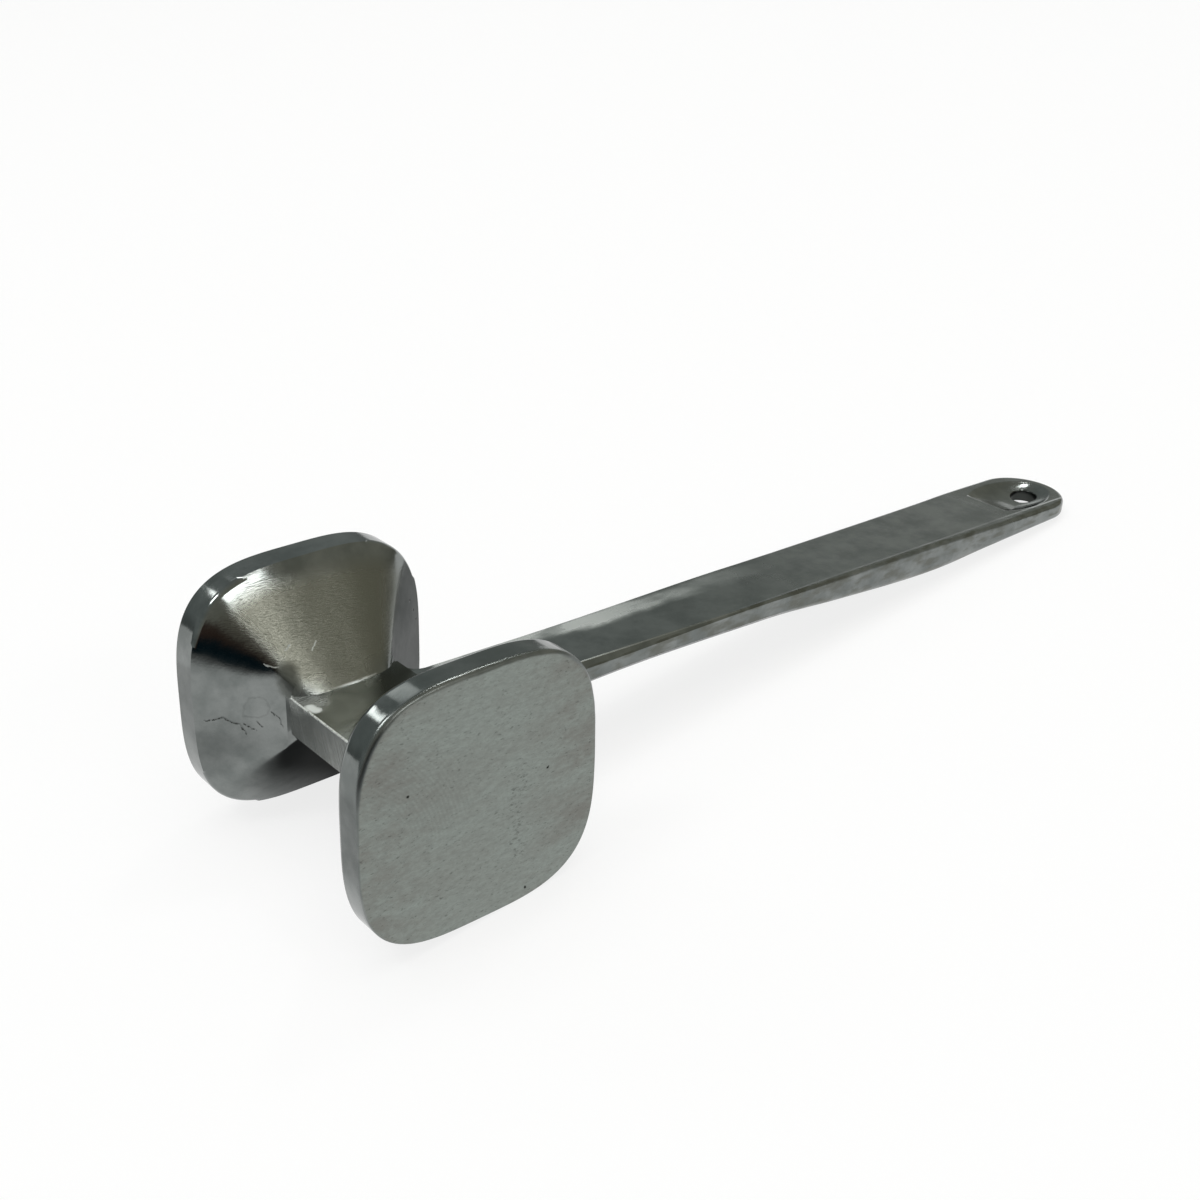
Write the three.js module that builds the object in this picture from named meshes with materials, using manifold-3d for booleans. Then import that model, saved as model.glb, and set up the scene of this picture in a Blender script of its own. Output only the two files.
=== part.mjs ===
// Two-sided meat tenderizer in cast aluminium, lying on the rims of its heads and the end of its handle.
// Millimetres, Z up. Every piece is drawn in the head's own frame: the origin is the middle of the head,
// X runs along the handle and Y along the head axis. The resting group then lays the whole thing down.
import * as THREE from 'three';
import { ConvexGeometry } from 'three/addons/geometries/ConvexGeometry.js';
import { mergeVertices } from 'three/addons/utils/BufferGeometryUtils.js';
import Module from 'manifold-3d';

const wasm = await Module();
wasm.setup();

// Heads: a rounded square rim that flares in to the seat on the block, rounder there than at the rim
const face_width = 55;
const face_height = 55;
const corner_power = 3.2;
const rim_thickness = 6.3;
const rim_round = 0.5;
const flare_depth = 12.95;
const seat_power = 2.7;

// Teeth on the far head, left standing between grooves that cross each other
const tooth_rows = 7;
const tooth_height = 3.6;
const tooth_tip_width = 0.8;
const tooth_land = 1;
const tooth_field_slope = 0.8;

// Waist block between the heads, cast in one with the handle
const block_width = 25.6;
const block_height = 8.5;
const block_length = 27.6;
const seat_gap = 0.3;

// Root of the flare: above and below it starts on the block, before the seat
const root_lead = 2.75;

// Tie stud and dowel pins that hold the heads on the block
const stud_diameter = 5;
const stud_grip = 9;
const stud_clearance = 0.3;
const dowel_diameter = 3;
const dowel_grip = 6;
const dowel_spacing = 17;
const dowel_clearance = 0.3;
const pin_chamfer = 0.5;
const blind_end_space = 0.5;

// Handle runs, one after the other from the block to the middle of the rounded end
const root_run = 39.2;
const neck_run = 48;
const swell_run = 28;
const belly_run = 37;
const heel_run = 17;
const drop_run = 10;
const tab_run = 19;
const top_slope_degrees = 1.62;

// Handle widths over the side faces
const neck_width = 19.2;
const throat_width = 19.9;
const swell_width = 20.8;
const belly_width = 21.9;
const tab_width = 23.5;
const root_fillet = 4;
const root_overlap = 0.5;
const root_step = 0.05;

// Handle depths below the flat top
const root_depth = 8.2;
const neck_depth = 5.6;
const throat_depth = 5.6;
const swell_depth = 7.6;
const belly_depth = 9.4;
const heel_depth = 7.7;
const tab_depth = 5.4;
const end_depth = 4.5;

// Handle edges: a flat chamfer above, and below a corner that turns from a chamfer into a round belly
const neck_chamfer = 1.4;
const throat_chamfer = 0.6;
const grip_chamfer = 0.35;
const neck_under_width = 1.4;
const neck_under_height = 1.4;
const swell_under_width = 3.5;
const swell_under_height = 3;
const belly_under_width = 5;
const belly_under_height = 4.5;
const tab_under_width = 1.2;
const tab_under_height = 1.2;
const flat_bend = 1;
const round_bend = 2;

// Hang hole near the end, in a shallow oval dish
const hole_diameter = 7;
const hole_from_end = 9.9;
const dish_length = 25.6;
const dish_width = 16.4;
const dish_depth = 2.2;
const dish_ball_factor = 2.2;
const dish_from_end = 18.9;

// Fineness of curves
const outline_steps = 64;
const round_steps = 3;
const under_steps = 5;
const pin_sides = 24;
const hole_sides = 32;
const end_sides = 64;
const ball_sides = 40;
const station_step = 5;
const fillet_steps = 5;
const least_section_step = 0.01;
const merge_tolerance = 0.0001;
const cut_margin = 1;
const steepest_turn_degrees = 45;
const turn_halvings = 40;

const aluminium = { color: 0xa9adab, roughness: 0.35, metalness: 1 };
const steel = { color: 0x8d8f92, roughness: 0.4, metalness: 1 };

const block_seat = block_length / 2 + seat_gap;
const face_at = flare_depth + rim_thickness;

function solid(geometry) {
  const bare = geometry.clone();
  bare.deleteAttribute('normal');
  bare.deleteAttribute('uv');
  const merged = mergeVertices(bare, merge_tolerance);
  const vertProperties = new Float32Array(merged.attributes.position.array);
  const triVerts = new Uint32Array(merged.index.array);
  return new wasm.Manifold(new wasm.Mesh({ numProp: 3, vertProperties, triVerts }));
}

function piece(name, body, look) {
  const mesh = body.getMesh();
  const geometry = new THREE.BufferGeometry();
  geometry.setAttribute('position', new THREE.BufferAttribute(new Float32Array(mesh.vertProperties), 3));
  geometry.setIndex(new THREE.BufferAttribute(new Uint32Array(mesh.triVerts), 1));
  geometry.computeVertexNormals();
  const made = new THREE.Mesh(geometry, new THREE.MeshStandardMaterial(look));
  made.name = name;
  return made;
}

// Points of a rounded rectangle across the head axis: the higher its power, the squarer its corners
function rounded_rectangle(half_width, half_height, power, y) {
  const points = [];
  for (let i = 0; i < outline_steps; i++) {
    const angle = (2 * Math.PI * i) / outline_steps;
    const across = Math.cos(angle);
    const up = Math.sin(angle);
    const x = Math.sign(across) * Math.abs(across) ** (2 / power);
    const z = Math.sign(up) * Math.abs(up) ** (2 / power);
    points.push(new THREE.Vector3(half_width * x, y, half_height * z));
  }
  return points;
}

// Outline of the face, drawn in by an inset
function outline(inset, y) {
  return rounded_rectangle(face_width / 2 - inset, face_height / 2 - inset, corner_power, y);
}

// Outline of the flare near its root, at a distance past the seat
function root_outline(past_seat) {
  const spread = (face_width - block_width) / 2 / flare_depth;
  const rise = (face_height - block_height) / 2 / (flare_depth + root_lead);
  const half_width = block_width / 2 + spread * past_seat;
  const half_height = block_height / 2 + rise * (past_seat + root_lead);
  return rounded_rectangle(half_width, half_height, seat_power, past_seat);
}

// Straight round bar along Y, from one end to the other
function bar_along_y(diameter, from, to, sides) {
  const bar = new THREE.CylinderGeometry(diameter / 2, diameter / 2, to - from, sides);
  bar.translate(0, (from + to) / 2, 0);
  return bar;
}

// Head with its seat on the plane y = 0 and its face towards +Y
function head_body() {
  const points = [...root_outline(0), ...outline(0, flare_depth)];
  for (let i = 0; i <= round_steps; i++) {
    const turn = (Math.PI / 2) * (i / round_steps);
    const inset = rim_round * (1 - Math.cos(turn));
    points.push(...outline(inset, face_at - rim_round * (1 - Math.sin(turn))));
  }
  return solid(new ConvexGeometry(points));
}

function pin_holes() {
  const stud_hole = stud_diameter + 2 * stud_clearance;
  const stud_depth = stud_grip - seat_gap + blind_end_space;
  let holes = solid(bar_along_y(stud_hole, -cut_margin, stud_depth, pin_sides));
  const dowel_hole = dowel_diameter + 2 * dowel_clearance;
  const dowel_depth = dowel_grip - seat_gap + blind_end_space;
  for (const side of [-1, 1]) {
    const hole = bar_along_y(dowel_hole, -cut_margin, dowel_depth, pin_sides);
    hole.translate(side * dowel_spacing / 2, 0, 0);
    holes = holes.add(solid(hole));
  }
  return holes;
}

// One straight V groove, running along Z through the tooth field, with its root on the face
function groove(pitch, length) {
  const rise = tooth_height + cut_margin;
  const half = ((pitch - tooth_tip_width) / 2) * (rise / tooth_height);
  const section = new THREE.Shape();
  section.moveTo(0, face_at);
  section.lineTo(half, face_at + rise);
  section.lineTo(-half, face_at + rise);
  section.closePath();
  const cutter = new THREE.ExtrudeGeometry(section, { depth: length, bevelEnabled: false });
  cutter.translate(0, 0, -length / 2);
  return cutter;
}

function tooth_field() {
  const sunk = outline(tooth_land, face_at - rim_round);
  const tops = outline(tooth_land + tooth_height / tooth_field_slope, face_at + tooth_height);
  const foot = outline(tooth_land, face_at);
  let field = solid(new ConvexGeometry([...sunk, ...foot, ...tops]));
  const across = face_width - 2 * tooth_land;
  const up = face_height - 2 * tooth_land;
  for (let i = 0; i <= tooth_rows; i++) {
    const place = i / tooth_rows - 0.5;
    const upright = groove(across / tooth_rows, face_height + 2 * cut_margin);
    upright.translate(place * across, 0, 0);
    field = field.subtract(solid(upright));
    const level = groove(up / tooth_rows, face_width + 2 * cut_margin);
    level.rotateY(Math.PI / 2);
    level.translate(0, 0, place * up);
    field = field.subtract(solid(level));
  }
  return field;
}

function smooth_head() {
  const made = piece('smooth_head', head_body().subtract(pin_holes()), aluminium);
  made.rotation.z = Math.PI;
  made.position.y = -block_seat;
  return made;
}

function toothed_head() {
  const body = head_body().add(tooth_field()).subtract(pin_holes());
  const made = piece('toothed_head', body, aluminium);
  made.position.y = block_seat;
  return made;
}

// Sizes of the handle's section at one distance along it, kept in one fixed order
function station(at, width, depth, chamfer, under_width, under_height, bend) {
  return { at, sizes: [width / 2, depth, chamfer, under_width, under_height, bend] };
}

function handle_stations() {
  const neck = root_run;
  const throat = neck + neck_run;
  const swell = throat + swell_run;
  const belly = swell + belly_run;
  const heel = belly + heel_run;
  const tab = heel + drop_run;
  const end = tab + tab_run;
  const neck_under = [neck_under_width, neck_under_height];
  const swell_under = [swell_under_width, swell_under_height];
  const belly_under = [belly_under_width, belly_under_height];
  const heel_under = belly_under.map((size, i) => (size + swell_under[i]) / 2);
  const tab_under = [tab_under_width, tab_under_height];
  const heel_width = (belly_width + tab_width) / 2;
  return [
    station(0, neck_width, root_depth, neck_chamfer, ...neck_under, flat_bend),
    station(neck, neck_width, neck_depth, neck_chamfer, ...neck_under, flat_bend),
    station(throat, throat_width, throat_depth, throat_chamfer, ...neck_under, flat_bend),
    station(swell, swell_width, swell_depth, grip_chamfer, ...swell_under, round_bend),
    station(belly, belly_width, belly_depth, grip_chamfer, ...belly_under, round_bend),
    station(heel, heel_width, heel_depth, grip_chamfer, ...heel_under, round_bend),
    station(tab, tab_width, tab_depth, grip_chamfer, ...tab_under, round_bend),
    station(end, tab_width, end_depth, grip_chamfer, ...tab_under, round_bend),
  ];
}

// Right half of the section, from the edge of the flat top round to the flat underside
function half_section(sizes) {
  const [half, depth, chamfer, under_width, under_height, bend] = sizes;
  const wall = depth - chamfer;
  const low = Math.min(under_height, wall);
  const points = [new THREE.Vector2(half - chamfer, 0), new THREE.Vector2(half, -chamfer)];
  for (let i = 0; i <= under_steps; i++) {
    const turn = (Math.PI / 2) * (i / under_steps);
    const y = half - under_width + under_width * Math.cos(turn) ** (2 / bend);
    const z = -(depth - low) - low * Math.sin(turn) ** (2 / bend);
    points.push(new THREE.Vector2(y, z));
  }
  return points;
}

// Closed skin over rings with the same number of points, each ring a convex outline
function skin(rings) {
  const count = rings[0].length;
  const corners = [];
  const triangle = (a, b, c) => corners.push(...a.toArray(), ...b.toArray(), ...c.toArray());
  for (let i = 0; i + 1 < rings.length; i++) {
    for (let j = 0; j < count; j++) {
      const next = (j + 1) % count;
      triangle(rings[i][j], rings[i + 1][next], rings[i + 1][j]);
      triangle(rings[i][j], rings[i][next], rings[i + 1][next]);
    }
  }
  const first = rings[0];
  const last = rings[rings.length - 1];
  for (let j = 1; j + 1 < count; j++) {
    triangle(first[0], first[j + 1], first[j]);
    triangle(last[0], last[j], last[j + 1]);
  }
  const geometry = new THREE.BufferGeometry();
  geometry.setAttribute('position', new THREE.BufferAttribute(new Float32Array(corners), 3));
  return geometry;
}

// Distances along the handle at which a section is drawn
function section_places(stations, fillet) {
  const places = new Set();
  for (let i = 0; i <= fillet_steps; i++) {
    places.add(fillet * (1 - Math.cos((Math.PI / 2) * (i / fillet_steps))));
  }
  for (let i = 0; i + 1 < stations.length; i++) {
    const from = Math.max(stations[i].at, fillet);
    const run = stations[i + 1].at - from;
    const steps = Math.max(1, Math.ceil(run / station_step));
    for (let j = 0; j <= steps; j++) {
      places.add(from + (run * j) / steps);
    }
  }
  const sorted = [...places].sort((a, b) => a - b);
  return sorted.filter((at, i) => i === 0 || at - sorted[i - 1] > least_section_step);
}

// Handle bar in its own frame: flat top on z = 0, running along +X from the block
function bar() {
  const stations = handle_stations();
  const field_count = stations[0].sizes.length;
  const between = new THREE.CubicInterpolant(
    stations.map((entry) => entry.at),
    stations.flatMap((entry) => entry.sizes),
    field_count,
  );
  const fillet = Math.max(0, Math.min(root_fillet, (block_length - neck_width) / 2));
  const rings = [];
  for (const at of section_places(stations, fillet)) {
    const sizes = [...between.evaluate(at)];
    const into_fillet = Math.max(0, fillet - at);
    sizes[0] += fillet - Math.sqrt(fillet ** 2 - into_fillet ** 2);
    const right = half_section(sizes);
    const left = right.map((point) => new THREE.Vector2(-point.x, point.y)).reverse();
    rings.push([...right, ...left].map((point) => new THREE.Vector3(at, point.x, point.y)).reverse());
  }
  return { body: solid(skin(rings)), end: stations[stations.length - 1] };
}

// Rounded end of the handle: the end section turned about an upright axis
function round_end(end) {
  const side = half_section(end.sizes);
  const top_middle = new THREE.Vector2(0, 0);
  const under_middle = new THREE.Vector2(0, side[side.length - 1].y);
  const disc = new THREE.LatheGeometry([under_middle, ...side.reverse(), top_middle], end_sides);
  disc.rotateX(Math.PI / 2);
  disc.translate(end.at, 0, 0);
  return solid(disc);
}

// Shallow oval dish: part of a flattened ball whose middle stands above the flat top
function dish(middle) {
  const ball_height = dish_depth * dish_ball_factor;
  const lift = ball_height - dish_depth;
  const spread = Math.sqrt(1 - (lift / ball_height) ** 2);
  const ball = new THREE.SphereGeometry(1, ball_sides, ball_sides / 2);
  ball.rotateX(Math.PI / 2);
  ball.scale(dish_length / 2 / spread, dish_width / 2 / spread, ball_height);
  ball.translate(middle, 0, lift);
  return solid(ball);
}

function hang_hole(middle) {
  const through = 2 * (end_depth + tab_depth);
  const hole = new THREE.CylinderGeometry(hole_diameter / 2, hole_diameter / 2, through, hole_sides);
  hole.rotateX(Math.PI / 2);
  hole.translate(middle, 0, 0);
  return solid(hole);
}

// Moves a solid from the bar's frame to the head's frame, its flat top just under the block's
function onto_block(body) {
  const start = [block_width / 2 - root_overlap, 0, block_height / 2 - root_step];
  return body.rotate([0, top_slope_degrees, 0]).translate(start);
}

// Waist block with the roots of both flares standing out of its top and underside
function waist_block() {
  let block = solid(new THREE.BoxGeometry(block_width, block_length, block_height));
  for (const turn of [0, Math.PI]) {
    const root = new ConvexGeometry([...root_outline(-root_lead), ...root_outline(-seat_gap)]);
    root.translate(0, block_seat, 0);
    root.rotateZ(turn);
    block = block.add(solid(root));
  }
  return block;
}

function handle() {
  const shaft = bar();
  const tip = shaft.end.at + shaft.end.sizes[0];
  let body = shaft.body.add(round_end(shaft.end));
  body = body.subtract(dish(tip - dish_from_end)).subtract(hang_hole(tip - hole_from_end));
  body = onto_block(body).add(waist_block());
  const through = bar_along_y(
    stud_diameter + 2 * stud_clearance,
    -block_seat - cut_margin,
    block_seat + cut_margin,
    pin_sides,
  );
  body = body.subtract(solid(through));
  for (const end of [-1, 1]) {
    for (const side of [-1, 1]) {
      const inner = block_length / 2 - dowel_grip - blind_end_space;
      const outer = block_length / 2 + cut_margin;
      const hole = bar_along_y(dowel_diameter + 2 * dowel_clearance, inner, outer, pin_sides);
      hole.translate(side * dowel_spacing / 2, 0, 0);
      hole.rotateZ(end < 0 ? Math.PI : 0);
      body = body.subtract(solid(hole));
    }
  }
  return piece('handle', body, aluminium);
}

// Round pin along Y with chamfered ends, its middle on the origin
function pin(name, diameter, length) {
  const radius = diameter / 2;
  const profile = [
    new THREE.Vector2(0, -length / 2),
    new THREE.Vector2(radius - pin_chamfer, -length / 2),
    new THREE.Vector2(radius, -length / 2 + pin_chamfer),
    new THREE.Vector2(radius, length / 2 - pin_chamfer),
    new THREE.Vector2(radius - pin_chamfer, length / 2),
    new THREE.Vector2(0, length / 2),
  ];
  return piece(name, solid(new THREE.LatheGeometry(profile, pin_sides)), steel);
}

function tie_stud() {
  return pin('tie_stud', stud_diameter, block_length + 2 * stud_grip);
}

function dowels() {
  const made = [];
  for (const [end, head] of [[-1, 'smooth_head'], [1, 'toothed_head']]) {
    for (const [side, hand] of [[-1, 'front'], [1, 'handle_side']]) {
      const dowel = pin(`${head}_dowel_${hand}`, dowel_diameter, 2 * dowel_grip);
      dowel.position.set(side * dowel_spacing / 2, end * block_length / 2, 0);
      made.push(dowel);
    }
  }
  return made;
}

// Lowest height that a mesh reaches once the head frame is turned about Y
function lowest(mesh, turn) {
  mesh.updateMatrixWorld(true);
  const points = mesh.geometry.attributes.position;
  const point = new THREE.Vector3();
  let low = Infinity;
  for (let i = 0; i < points.count; i++) {
    point.fromBufferAttribute(points, i).applyMatrix4(mesh.matrixWorld);
    low = Math.min(low, point.z * Math.cos(turn) - point.x * Math.sin(turn));
  }
  return low;
}

// Turn about Y at which the head rims and the end of the handle touch the same level
function resting_turn(head, bar_piece) {
  let flat = 0;
  let steep = THREE.MathUtils.degToRad(steepest_turn_degrees);
  for (let i = 0; i < turn_halvings; i++) {
    const middle = (flat + steep) / 2;
    if (lowest(bar_piece, middle) > lowest(head, middle)) {
      flat = middle;
    } else {
      steep = middle;
    }
  }
  return flat;
}

const smooth = smooth_head();
const toothed = toothed_head();
const grip = handle();
const resting = new THREE.Group();
resting.add(grip, smooth, toothed, tie_stud(), ...dowels());
const turn = resting_turn(smooth, grip);
resting.rotation.y = turn;
resting.position.z = -lowest(smooth, turn);
const bounds = new THREE.Box3().setFromObject(resting, true);
const middle = bounds.getCenter(new THREE.Vector3());
resting.position.x = -middle.x;
resting.position.y = -middle.y;

const tenderizer = new THREE.Group();
tenderizer.add(resting);

export default tenderizer;
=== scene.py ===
"""Cast aluminium meat tenderizer: finer surfaces for its pieces, and the stage that it is seen on."""

import math

import bmesh
import bpy
from mathutils import Matrix, Vector, noise


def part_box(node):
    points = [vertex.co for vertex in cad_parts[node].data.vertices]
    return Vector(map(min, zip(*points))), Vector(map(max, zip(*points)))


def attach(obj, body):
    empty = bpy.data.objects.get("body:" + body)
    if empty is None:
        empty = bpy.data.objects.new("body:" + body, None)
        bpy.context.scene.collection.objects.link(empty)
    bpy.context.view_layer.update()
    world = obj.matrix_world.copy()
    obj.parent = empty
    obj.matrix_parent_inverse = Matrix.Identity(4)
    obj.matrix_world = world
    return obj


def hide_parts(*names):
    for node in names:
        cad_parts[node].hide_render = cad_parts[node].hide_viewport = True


bl_info = {
    "name": "Cast meat tenderizer",
    "version": (1, 0, 0),
    "blender": (4, 5, 0),
    "location": "3D View > Sidebar > Tenderizer",
    "description": "Builds a two-sided meat tenderizer in cast aluminium",
    "category": "Add Mesh",
}

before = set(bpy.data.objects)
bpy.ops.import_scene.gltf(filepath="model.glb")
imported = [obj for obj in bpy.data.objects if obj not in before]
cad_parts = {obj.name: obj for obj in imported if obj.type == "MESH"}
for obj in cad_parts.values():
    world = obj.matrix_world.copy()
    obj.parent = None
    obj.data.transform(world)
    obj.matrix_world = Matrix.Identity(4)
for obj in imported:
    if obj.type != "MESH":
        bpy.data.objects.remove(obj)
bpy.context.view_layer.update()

MM = 0.001


def middle(node):
    low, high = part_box(node)
    return (low + high) / 2


def head_frame():
    """From the middle of the heads, X along the handle and Y along the head axis, to the row frame."""
    along = middle("smooth_head_dowel_handle_side") - middle("smooth_head_dowel_front")
    turn = math.atan2(-along.z, along.x)
    return Matrix.Translation(middle("tie_stud")) @ Matrix.Rotation(turn, 4, "Y")


HEAD_FRAME = head_frame()


def length(name, millimetres, description):
    return bpy.props.FloatProperty(
        name=name,
        description=description,
        default=millimetres * MM,
        min=0,
        precision=5,
        unit="LENGTH",
    )


def number(name, value, least, description):
    return bpy.props.FloatProperty(name=name, description=description, default=value, min=least)


def angle(name, degrees, description):
    return bpy.props.FloatProperty(
        name=name,
        description=description,
        default=math.radians(degrees),
        unit="ROTATION",
    )


def linear(hex_colour):
    """sRGB hex colour as linear red, green, blue and alpha."""
    channels = [int(hex_colour[i : i + 2], 16) / 255 for i in (1, 3, 5)]
    return [c / 12.92 if c <= 0.04045 else ((c + 0.055) / 1.055) ** 2.4 for c in channels] + [1]


def colour(name, hex_colour, description):
    return bpy.props.FloatVectorProperty(
        name=name,
        description=description,
        default=linear(hex_colour),
        size=4,
        min=0,
        max=1,
        subtype="COLOR",
    )


class HeadSizes(bpy.types.PropertyGroup):
    """Sizes of the smooth and the toothed head"""

    face_width: length("Face width", 54.84, "Across the striking face, along the handle")
    face_height: length("Face height", 54.84, "Up the striking face")
    rim_thickness: length("Rim thickness", 6.3, "Straight wall behind the face")
    flare_depth: length("Flare depth", 12.95, "From the seat to the rim")
    seat_width: length("Seat width", 25.6, "Flare at the seat, along the handle")
    root_height: length("Root height", 8.5, "Flare where it starts on the waist block, upwards")
    root_lead: length("Root lead", 2.75, "From the start of the flare to the seat")
    cheek_depth: length("Cheek depth", 1.5, "Flat at each side of the flare, in line with the waist block")
    straight: length("Straight", 2, "Straight stretch in the middle of each side of the rim")
    back_round: length("Back rounding", 1, "Rounded edge between flare and rim")
    face_round: length("Face rounding", 0.4, "Rounded edge between rim and face")
    ground_edge: length("Ground edge", 0.4, "Least width of the edge left by grinding the smooth face")
    ground_uneven: length("Uneven ground edge", 1.8, "How much wider that edge grows along its top")
    tooth_height: length("Tooth height", 3.6, "Teeth above the far face")
    tooth_tip: length("Tooth tip", 0.8, "Flat on top of each tooth")
    tooth_land: length("Tooth land", 1, "Flat margin round the teeth")
    tooth_edge: length("Tooth edge", 0.12, "Rounding of the teeth's tips")
    tooth_slope: number(
        "Tooth slope", 0.8, 0.1, "Rise of the tooth field's outer side for each unit that it draws in"
    )
    seat_power: number("Seat power", 3.6, 2, "Power of the flare's rounded outline at its root")
    corner_power: number("Corner power", 3.2, 2, "Power of the rounded square: 2 is round, more is squarer")
    tooth_rows: bpy.props.IntProperty(name="Tooth rows", description="Teeth in each row", default=7, min=2)


class HandleSizes(bpy.types.PropertyGroup):
    """Sizes of the handle and of the waist block cast in one with it"""

    block_width: length("Block width", 25.6, "Waist block along the handle")
    block_height: length("Block height", 8.5, "Waist block upwards")
    block_length: length("Block length", 28.2, "Waist block from seat to seat")
    block_edge: length("Block edge", 0.3, "Rounding of the waist block's edges")
    root_run: length("Root run", 39.2, "From the block to the neck")
    neck_run: length("Neck run", 48, "From the neck to the throat")
    swell_run: length("Swell run", 28, "From the throat to the swell")
    belly_run: length("Belly run", 37, "From the swell to the belly")
    heel_run: length("Heel run", 17, "From the belly to the heel")
    drop_run: length("Drop run", 10, "From the heel to the tab")
    tab_run: length("Tab run", 19, "From the tab to the middle of the rounded end")
    neck_width: length("Neck width", 19.2, "Across the handle at the neck")
    throat_width: length("Throat width", 19.9, "Across the handle at the throat")
    swell_width: length("Swell width", 20.8, "Across the handle at the swell")
    belly_width: length("Belly width", 21.9, "Across the handle at the belly")
    tab_width: length("Tab width", 23.5, "Across the handle at its rounded end")
    root_depth: length("Root depth", 8.2, "Depth below the flat top at the block")
    neck_depth: length("Neck depth", 5.6, "Depth below the flat top at the neck and throat")
    swell_depth: length("Swell depth", 7.6, "Depth below the flat top at the swell")
    belly_depth: length("Belly depth", 9.4, "Depth below the flat top at the belly")
    heel_depth: length("Heel depth", 7.7, "Depth below the flat top at the heel")
    tab_depth: length("Tab depth", 5.4, "Depth below the flat top at the tab")
    end_depth: length("End depth", 4.5, "Depth below the flat top at the rounded end")
    root_fillet: length("Root fillet", 4, "Rounding where the handle leaves the block")
    root_overlap: length("Root overlap", 0.5, "Start of the handle inside the block")
    root_step: length("Root step", 0.05, "Handle's flat top below the block's")
    neck_chamfer: length("Neck chamfer", 1.4, "Flat chamfer along the top at the neck")
    throat_chamfer: length("Throat chamfer", 0.6, "Flat chamfer along the top at the throat")
    grip_chamfer: length("Grip chamfer", 1.3, "Rounding along the top at the grip")
    under_edge: length("Under edge", 1.4, "Flat chamfer below the neck")
    swell_under_width: length("Swell round, across", 3.5, "Round lower edge at the swell")
    swell_under_height: length("Swell round, up", 3, "Round lower edge at the swell")
    belly_under_width: length("Belly round, across", 5, "Round lower edge at the belly")
    belly_under_height: length("Belly round, up", 4.5, "Round lower edge at the belly")
    tab_under: length("Tab round", 1.2, "Round lower edge at the tab")
    hole_diameter: length("Hole diameter", 7, "Hang hole")
    hole_from_end: length("Hole from end", 9.9, "From the tip to the middle of the hang hole")
    dish_length: length("Dish length", 29, "Oval dish along the handle")
    dish_width: length("Dish width", 17.4, "Oval dish across the handle")
    dish_depth: length("Dish depth", 2.6, "Oval dish below the flat top")
    dish_from_end: length("Dish from end", 17.2, "From the tip to the middle of the dish")
    dish_edge: length("Dish edge", 1.2, "Rounding of the dish's edge")
    hole_edge: length("Hole edge", 0.4, "Rounding of the hang hole's edges")
    dish_ball: number(
        "Dish ball", 2.2, 1.05, "Height of the flattened ball that shapes the dish, in dish depths"
    )
    top_slope: angle("Top slope", 1.62, "Fall of the handle's flat top away from the block")


class Finish(bpy.types.PropertyGroup):
    """Colours of the metal and the stage"""

    casting: colour("Casting", "#8e9290", "Buffed aluminium casting")
    casting_dull: colour("Dull casting", "#757a78", "Duller patches of the casting")
    # Painted warm reflection on the flares' tops
    painted_warm_reflection: colour("Warm casting", "#7f8076", "Faint warm tint of the flares' tops")
    # Painted highlights and painted pale reflections on the bar and the block, and a painted glint on
    # scratches of the far head
    worn_and_highlight: colour("Worn casting", "#dfe3e0", "Paler, worn patches of the casting")
    side_dull: colour("Dull side", "#6b6d66", "Darker mottling of the handle's sides")
    face: colour("Ground face", "#9aa29c", "Ground aluminium face")
    face_dark: colour("Dark ground face", "#8b918c", "Darker mottling of the ground face")
    face_stain: colour("Face stain", "#766f69", "Brownish stain at the face's margin")
    # Grime in pits and cold shuts, and painted shade in the hang hole
    dirt_and_shade: colour("Dirt", "#1d1e1a", "Dirt in pits and cold shuts")
    steel: colour("Steel", "#7c7d80", "Plain turned steel")
    floor: colour("Floor", "#ffffff", "Pale floor")
    room_cool: colour("Room, cool side", "#8f9594", "Room behind the handle")
    room_warm: colour("Room, warm side", "#98978c", "Room in front of the smooth face")
    # Painted shade on the waist between the heads, and painted shade on a facet at the far flare's root,
    # which has a dull finish from scraping
    scraped_and_shaded: colour("Scraped casting", "#45473c", "Dull scraped metal at a flare's foot and on the waist")
    cloth_hem: colour("Cloth, hem", "#6c7274", "Lowest edge of the cloth, that catches the floor's light")
    cloth_low: colour("Cloth, low", "#0c2028", "Foot of the dark cloth that the metal mirrors")
    cloth_high: colour("Cloth, high", "#45362f", "Top of the dark cloth that the metal mirrors")


class Stage(bpy.types.PropertyGroup):
    """The camera, as the photograph was taken"""

    azimuth: angle("Azimuth", -39.0526, "Camera round the object from -Y")
    elevation: angle("Elevation", 30.1111, "Camera above the horizon")
    roll: angle("Roll", -2.8611, "Camera tilted about its own axis")
    distance: length("Distance", 320.706, "From the camera to the point that it looks at")
    target: bpy.props.FloatVectorProperty(
        name="Target",
        description="Point that the camera looks at, from the middle of the heads",
        default=(41.7047 * MM, -19.163 * MM, 19.6475 * MM),
        size=3,
        subtype="TRANSLATION",
    )
    lens: bpy.props.FloatProperty(
        name="Lens",
        description="Focal length on a 36 mm sensor",
        default=48.196,
        min=1,
        unit="CAMERA",
    )


# Nodes

RGBA = {"data_type": "RGBA"}
SMOOTH = {"interpolation_type": "SMOOTHSTEP"}


def fill(tree, node, inputs):
    """Sets or links a node's inputs, each given by its name or by its place among those in use.

    A value that is a node stands for the first of its results in use."""
    in_use = [socket for socket in node.inputs if socket.enabled]
    for key, value in inputs.items():
        socket = node.inputs[key] if isinstance(key, str) else in_use[key]
        if isinstance(value, bpy.types.Node):
            value = next(result for result in value.outputs if result.enabled)
        if isinstance(value, bpy.types.NodeSocket):
            tree.links.new(value, socket)
        else:
            socket.default_value = value


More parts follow.
